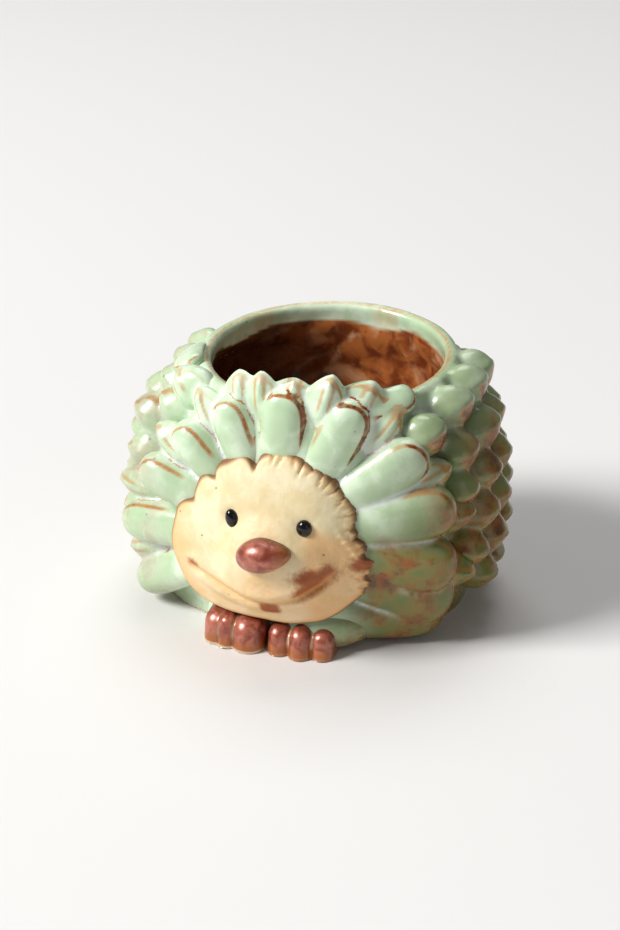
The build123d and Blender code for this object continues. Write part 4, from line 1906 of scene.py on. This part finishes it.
    def front(self, x: np.ndarray, z: np.ndarray) -> np.ndarray:
        """How far forward the face stands.

        Args:
            x: places across, in millimetres.
            z: heights, in millimetres.

        Returns:
            The depths, in millimetres.
        """
        dome = np.sqrt(self.dome_radius ** 2 - x ** 2 - (z - self.dome_middle) ** 2)
        dome = dome - (self.dome_radius - self.dome_front) - self.cheek_drop * ramp(x, *self.cheek_across)
        width, height = x * self.muzzle_narrowing, z - self.muzzle_height
        ball = np.sqrt(np.maximum(self.muzzle_radius ** 2 - width ** 2 - height ** 2, 0))
        muzzle = ball + self.muzzle_reach - self.muzzle_radius
        share = np.clip(0.5 + 0.5 * (muzzle - dome) / self.muzzle_blend, 0, 1)
        depth = dome * (1 - share) + muzzle * share + self.muzzle_blend * share * (1 - share)
        reach, corner = self.over_smile(x, z), ramp(x, *self.smile_corner)
        within = ramp(np.abs(x - self.smile_middle), *self.smile_reach)
        for place, rise, corner_rise, wide, corner_wide in self.smile_rolls:
            roll = bell(reach - place, wide + corner_wide * corner)
            depth = depth + within * (rise + corner_rise * corner) * roll
        hollow_depth, hollow_width = self.eye_hollow
        for eye_x, eye_z in self.eye_places:
            depth = depth - hollow_depth * bell(np.hypot(x - eye_x, z - eye_z), hollow_width)
        return depth

    def nicks(self, x: np.ndarray, z: np.ndarray, inset: np.ndarray) -> np.ndarray:
        """Depth of the tool marks along the upper edge.

        Args:
            x: places across, in millimetres.
            z: heights, in millimetres.
            inset: distances from the edge, in millimetres.

        Returns:
            Shares from 0 to 1.
        """
        degrees, reach = np.degrees(np.arctan2(x, z - self.middle)), np.hypot(x, z - self.middle)
        sway, sway_pace = self.nick_sway
        least, more, pace = self.nick_length
        total = np.zeros(x.shape)
        for index in range(self.nick_count):
            bent = sway * math.sin(index * sway_pace) * ramp(inset, 0, 5)
            side = np.radians(degrees - self.nick_angle(index) + bent) * reach
            length = least + more * math.sin(index * pace) ** 2
            total = np.maximum(total, bell(side, self.nick_half_width) * ramp(inset, length, length * 0.4))
        return total

    def stations(self) -> list[Triple]:
        """Rings that go out over the back at 0, round the edge and in over the front at 1.

        Returns:
            The place along, half width and half height of each.
        """
        edge = [1.0 - self.round_step * index for index in range(self.round_rings)]
        inward = [1 - index / self.front_rings for index in range(1, self.front_rings)]
        front = edge + [self.front_share * share ** self.front_crowding for share in inward]
        return [(0.0, share, share) for share in self.back_rings] + [(1.0, share, share) for share in front]

    def build(self, wash: bpy.types.Material) -> None:
        """Builds and dresses the slab.

        Args:
            wash: the clay wash.
        """
        slab = Bench.draw_form("face_slab", self.stations(), self.segments)
        skin = Skin(slab)
        layer, across, up = skin.points.T
        angle = np.arctan2(across, up)
        edge = self.outline(angle)
        x, z = across * edge, up * edge + self.middle
        inset = (1 - np.hypot(across, up)) * edge
        nicks = self.nicks(x, z, inset)
        front = self.front(x, z)
        chord = self.edge_round ** 2 - np.maximum(self.edge_round - inset, 0) ** 2
        drop = self.edge_round - np.sqrt(np.maximum(chord, 0))
        rough = band(np.degrees(angle), *self.rough_band) * ramp(inset, *self.rough_inset)
        ragged = rough * waves(self.rough_waves, x, z)
        surface = front - drop - nicks * self.nick_depth + ragged
        seat = np.minimum(self.wall.front(x, z) - self.back, front - self.edge_round - self.least_thickness)
        y = -np.where(layer < 0.5, seat, surface)
        skin.press(np.stack([x, y, z], 1) * MM - skin.points)
        Bench.face_outward(slab)
        groove = ramp(np.abs(x - self.smile_middle), *self.groove_reach)
        groove = groove * bell(self.over_smile(x, z), self.groove_half_width)
        skin.keep(
            stain=self.stain(x, z), warm=self.warm(x, z, inset) * self.warm_share,
            groove=np.maximum(groove * self.groove_share, nicks * self.nick_share),
            outline=ramp(inset, *self.outline_inset) * self.outline_share,
        )
        Bench.finish_piece(slab, Slot.FACE, wash, ["face_mask"])

    def stain(self, x: np.ndarray, z: np.ndarray) -> np.ndarray:
        """Where rust stains the face: the cheeks, the chin, the spur and the right of the smile.

        Args:
            x: places across, in millimetres.
            z: heights, in millimetres.

        Returns:
            Shares from 0 to 1.
        """
        place, half_width, share = self.smile_stain
        smile = band(x, *self.smile_stain_band) * bell(self.over_smile(x, z) - place, half_width) * share
        return np.maximum.reduce([smile, *(spot.over(x, z) for spot in self.stain_spots)]) * self.stain_share

    def warm(self, x: np.ndarray, z: np.ndarray, inset: np.ndarray) -> np.ndarray:
        """Where the face is tanned: right cheek, edge, left side, muzzle, brow and chin.

        Args:
            x: places across, in millimetres.
            z: heights, in millimetres.
            inset: distances from the edge, in millimetres.

        Returns:
            Shares, which may pass 1 where marks meet.
        """
        below_eye = ramp(z + 0.45 * (x - 10), 43, 39)
        warm = band(x, 8, 13, 25, 31) * below_eye * (0.7 + 0.25 * ramp(z, 20, 26))
        warm += 0.85 * ramp(inset, 3.0, 0.3) + 0.45 * ramp(-x, 20, 28)
        warm += 0.5 * ramp(-x, 14, 27) * ramp(z, 36, 26) + 0.35 * ramp(z, 22, 14)
        return warm + sum(spot.over(x, z) for spot in self.warm_spots)


@dataclass
class FaceParts:
    """Nose and eyes."""

    slab: FaceSlab
    nose_size: Triple = (15.4, 10.4, 10.2)
    nose_place: Place = (0.4, -50.6, 33.2)
    nose_roll: float = 12.0
    nose_flattening: float = 0.12
    nose_taper: float = 0.76
    nose_edge: Triple = (0.7, 0.6, -0.6)
    nose_edge_shift: float = 1.2
    nose_edge_span: Span = (-0.5, 4.0)
    nose_pool_span: Span = (-1.6, 0.8)
    nose_pool_share: float = 0.9
    eye_sizes: tuple[Triple, Triple] = ((3.8, 3.4, 5.8), (4.3, 3.6, 5.0))
    eye_rolls: Span = (16.0, -6.0)
    eye_flattening: float = 0.1
    lower_side: float = -0.12
    taper_level: float = -0.06
    taper_span: Span = (-0.1, 0.5)

    def pebble(self, name: str, size: Triple, place: Place, roll: float, flattening: float,
               taper: float = 1.0) -> bpy.types.Object:
        """Rounded pebble of glaze.

        Args:
            name: name of the piece.
            size: its width, depth and height, in millimetres.
            place: its middle, in millimetres.
            roll: its turn clockwise as seen from the front, in degrees.
            flattening: how much its lower side is pushed up, as a share.
            taper: height of its right end, as a share of the rest.

        Returns:
            The piece.
        """
        Bench.clear()
        bpy.ops.mesh.primitive_uv_sphere_add(segments=48, ring_count=28, radius=0.5)
        pebble = Bench.added(name)
        pebble.data.name = name
        Bench.choose(pebble, lambda corner: corner.z < self.lower_side)
        bpy.ops.transform.resize(value=(1, 1, 1 - flattening), center_override=(0, 0, self.lower_side))
        Bench.clear()
        skin = Skin(pebble)
        x, _, z = skin.points.T
        lower = np.zeros_like(skin.points)
        lower[:, 2] = (z - self.taper_level) * (taper - 1) * ramp(x, *self.taper_span)
        skin.press(lower)
        Bench.choose(pebble)
        bpy.ops.transform.resize(value=metres(size), center_override=(0, 0, 0))
        bpy.ops.transform.rotate(value=math.radians(roll), orient_axis="Y", center_override=(0, 0, 0))
        bpy.ops.transform.translate(value=metres(place))
        Bench.clear()
        return pebble

    def build(self, brown: bpy.types.Material, black: bpy.types.Material) -> None:
        """Builds and dresses the nose and eyes.

        Args:
            brown: glaze of the nose.
            black: glaze of the eyes.
        """
        nose = self.pebble("nose_glazed", self.nose_size, self.nose_place, self.nose_roll,
                           self.nose_flattening, self.nose_taper)
        skin = Skin(nose)
        from_middle = skin.points / MM - np.array(self.nose_place)
        olive = from_middle @ np.array(self.nose_edge) + self.nose_edge_shift
        skin.keep(edge=ramp(olive, *self.nose_edge_span), cream=0.0,
                  pool=ramp(from_middle[:, 1], *self.nose_pool_span) * self.nose_pool_share)
        Bench.finish_piece(nose, Slot.BROWN, brown, ["nose"])
        eyes = zip(("eye_left", "eye_right"), self.slab.eye_places, self.eye_sizes, self.eye_rolls)
        for name, (eye_x, eye_z), size, roll in eyes:
            front = float(self.slab.front(np.array([eye_x]), np.array([eye_z]))[0])
            eye = self.pebble(name + "_glazed", size, (eye_x, -front, eye_z), roll, self.eye_flattening)
            Bench.finish_piece(eye, Slot.BLACK, black, [name])


class Toe(NamedTuple):
    """One toe: its width, depth and height, its middle across and its front."""

    width: float
    depth: float
    height: float
    middle: float
    front: float


@dataclass(frozen=True)
class Paw:
    """One paw: its toes, how much they are softened, its sleeve and how much cream clay shows."""

    name: str
    toes: tuple[Toe, ...]
    passes: int
    leg_size: Triple
    leg_place: Span
    cream_foot: float
    cream_seams: float


@dataclass
class Paws:
    """Two forelegs, the left with broad lobes and the right with three toes."""

    paws: tuple[Paw, ...] = (
        Paw("left", (Toe(8.2, 13.0, 9.8, -16.2, -45.8), Toe(5.0, 13.0, 9.9, -12.9, -46.9),
                     Toe(9.4, 13.5, 10.0, -6.8, -48.2)), 16, (26.0, 26.0, 14.0), (-11.5, -31.0), 0.9, 0.25),
        Paw("right", (Toe(6.5, 12.0, 8.8, 2.1, -46.8), Toe(6.3, 12.0, 9.0, 8.3, -47.6),
                      Toe(6.3, 12.0, 8.6, 14.3, -46.2)), 3, (36.0, 26.0, 17.0), (10.6, -31.0), 0.15, 0.9),
    )
    toe_grain: float = 0.3
    toe_round: float = 0.46
    toe_sink: float = 3.0
    toe_slope: Span = (0.16, 0.1)
    leg_grain: float = 0.7
    leg_passes: int = 4
    leg_level: float = -0.16
    ground_gap: float = 0.15

    @staticmethod
    def block(name: str, low: Sequence[float], high: Sequence[float]) -> bpy.types.Object:
        """Box between two corners, to be rounded.

        Args:
            name: its name.
            low: its lowest corner, in millimetres.
            high: its highest corner, in millimetres.

        Returns:
            The box.
        """
        Bench.clear()
        bpy.ops.mesh.primitive_cube_add(size=1.0)
        box = Bench.added(name)
        Bench.choose(box)
        bpy.ops.transform.resize(value=[(b - a) * MM for a, b in zip(low, high)], center_override=(0, 0, 0))
        bpy.ops.transform.translate(value=[(a + b) / 2 * MM for a, b in zip(low, high)])
        Bench.clear()
        return box

    def toe(self, toe: Toe) -> bpy.types.Object:
        """One toe: a block that slopes down to its rounded front.

        Args:
            toe: its sizes.

        Returns:
            The toe.
        """
        half, (back, down) = toe.width / 2, self.toe_slope
        block = self.block("toe", (toe.middle - half, toe.front, -self.toe_sink),
                           (toe.middle + half, toe.front + toe.depth, toe.height))
        Bench.choose(block, lambda corner: corner.z > 0 and corner.y < (toe.front + 1) * MM)
        bpy.ops.transform.translate(value=(0, toe.depth * back * MM, -toe.height * down * MM))
        Bench.clear()
        Bench.modify(block, "BEVEL", width=toe.width * self.toe_round * MM, segments=6)
        return block

    def build(self, brown: bpy.types.Material, glaze: bpy.types.Material) -> None:
        """Builds and dresses the paws.

        Args:
            brown: glaze of the toes.
            glaze: glaze of the forelegs.
        """
        for paw in self.paws:
            self.build_toes(paw, brown)
            self.build_leg(paw, glaze)

    def build_toes(self, paw: Paw, brown: bpy.types.Material) -> None:
        """Runs the toes of a paw together.

        Args:
            paw: the paw.
            brown: the glaze.
        """
        toes = Bench.join("toes_" + paw.name + "_glazed", [self.toe(toe) for toe in paw.toes])
        Bench.run_together(toes, self.toe_grain, paw.passes)
        skin = self.stand(toes)
        z = skin.places[2]
        seams = skin.valleys(60, (0.02, 0.16))
        skin.keep(
            edge=ramp(z, 4.6, 1.2) * 0.95 + 0.6 * ramp(seams, 0.05, 0.5),
            pool=seams * (1 - paw.cream_seams) * 0.9,
            cream=seams * paw.cream_seams * ramp(z, 2.0, 4.0) + paw.cream_foot * ramp(z, 1.0, 0.6),
        )
        Bench.finish_piece(toes, Slot.BROWN, brown, ["toes_" + paw.name])

    def build_leg(self, paw: Paw, glaze: bpy.types.Material) -> None:
        """Builds the rounded sleeve round the back of a paw.

        Args:
            paw: the paw.
            glaze: the glaze.
        """
        width, depth, height = paw.leg_size
        middle, place = paw.leg_place
        low = (middle - width / 2, place - depth / 2, height * self.leg_level)
        high = (low[0] + width, low[1] + depth, low[2] + height)
        leg = self.block("foreleg_" + paw.name + "_glazed", low, high)
        Bench.modify(leg, "SUBSURF", levels=4, render_levels=4)
        Bench.run_together(leg, self.leg_grain, self.leg_passes)
        skin = self.stand(leg)
        x, _, z = skin.places
        # Painted shade on the sleeve: slight everywhere, stronger towards the right.
        skin.keep(edge=ramp(z, 2.2, 0.6) * 0.7, pool=0.0, rust=ramp(x, 13, 21) * 0.8,
                  shade=0.1 + ramp(x, 6, 22) * 0.5, lining=0.0, foot=0.0)
        Bench.finish_piece(leg, Slot.CELADON, glaze, ["foreleg_" + paw.name])

    def stand(self, obj: bpy.types.Object) -> Skin:
        """Flattens what would stand below the ground.

        Args:
            obj: the piece.

        Returns:
            The skin of the flattened piece.
        """
        skin = Skin(obj)
        sunk = np.zeros_like(skin.points)
        sunk[:, 2] = np.maximum(self.ground_gap * MM - skin.points[:, 2], 0)
        skin.press(sunk)
        return Skin(obj)


# Stage

class Lamp(NamedTuple):
    """One soft lamp that looks at the pot: its name, place and width, and its power in watts."""

    name: str
    place: Place
    width: float
    power: float


@dataclass
class Studio:
    """Pale floor, soft lamps and the camera."""

    azimuth: float = 17.0
    elevation: float = 25.0
    distance: float = 520.0
    target: Place = (0.0, 0.0, 36.0)
    lens: float = 69.85
    shift: Span = (-0.0083, 0.0041)
    nearest: float = 10.0
    floor: Colour = srgb(226, 224, 222)
    floor_width: float = 6000.0
    floor_roughness: float = 0.7
    surround: Colour = srgb(236, 238, 240)
    sky_strengths: Span = (0.18, 0.93)
    lamps: tuple[Lamp, ...] = (
        Lamp("key_lamp", (-1900.0, -1250.0, 1900.0), 1000.0, 108.0),
        Lamp("top_lamp", (-300.0, 1300.0, 2600.0), 1600.0, 30.0),
        Lamp("fill_lamp", (1700.0, -1500.0, 900.0), 1400.0, 3.0),
    )

    def build(self) -> None:
        """Sets up floor, world, lamps and camera."""
        Bench.clear()
        self.lay_floor()
        self.light_world()
        for lamp in self.lamps:
            self.hang(lamp)
        self.set_camera()

    def lay_floor(self) -> None:
        """Lays the floor."""
        bpy.ops.mesh.primitive_plane_add(size=self.floor_width * MM, location=(0, 0, 0))
        floor = Bench.added("studio_floor")
        material = bpy.data.materials.new("studio_floor")
        material.use_nodes = True
        look = {"Base Color": self.floor, "Roughness": self.floor_roughness}
        Palette(material.node_tree).feed(material.node_tree.nodes["Principled BSDF"], look)
        floor.data.materials.append(material)

    def light_world(self) -> None:
        """Sets a dim even sky that the camera sees as pale."""
        world = bpy.data.worlds.new("studio_world")
        bpy.context.scene.world = world
        world.use_nodes = True
        lay = Palette(world.node_tree)
        path = lay.add("ShaderNodeLightPath")
        seen = lay.sums("MAXIMUM", path.outputs["Is Camera Ray"], path.outputs["Is Transmission Ray"])
        strength = lay.blend(seen, *self.sky_strengths)
        lay.feed(world.node_tree.nodes["Background"], {"Color": self.surround, "Strength": strength})

    def hang(self, lamp: Lamp) -> None:
        """Hangs one lamp.

        Args:
            lamp: the lamp.
        """
        where = metres(lamp.place)
        bpy.ops.object.light_add(type="AREA", location=where)
        hung = Bench.added(lamp.name)
        hung.data.energy = lamp.power
        hung.data.size = lamp.width * MM
        hung.rotation_euler = (metres(self.target) - where).to_track_quat("-Z", "Y").to_euler()

    def set_camera(self) -> None:
        """Sets the camera where the photograph was taken from."""
        turn, rise = math.radians(self.azimuth), math.radians(self.elevation)
        back = Vector((math.sin(turn) * math.cos(rise), -math.cos(turn) * math.cos(rise), math.sin(rise)))
        bpy.ops.object.camera_add(location=metres(Vector(self.target) + back * self.distance))
        camera = bpy.context.object
        camera.rotation_euler = back.to_track_quat("Z", "Y").to_euler()
        camera.data.lens = self.lens
        camera.data.shift_x, camera.data.shift_y = self.shift
        camera.data.clip_start = self.nearest * MM
        bpy.context.scene.camera = camera
        bpy.context.scene.view_settings.view_transform = "Standard"
        Bench.clear()


def main() -> None:
    """Builds every piece, then the studio."""
    glaze, wash = CeladonGlaze().build(), BareFace().build()
    brown, black = BrownGlaze().build(), BlackGlaze().build()
    wall = PotWall()
    slab = FaceSlab(wall)
    GlazedPot(wall, QuillCoat(wall)).build(glaze)
    slab.build(wash)
    FaceParts(slab).build(brown, black)
    Paws().build(brown, glaze)
    Studio().build()


if __name__ == "__main__":
    main()
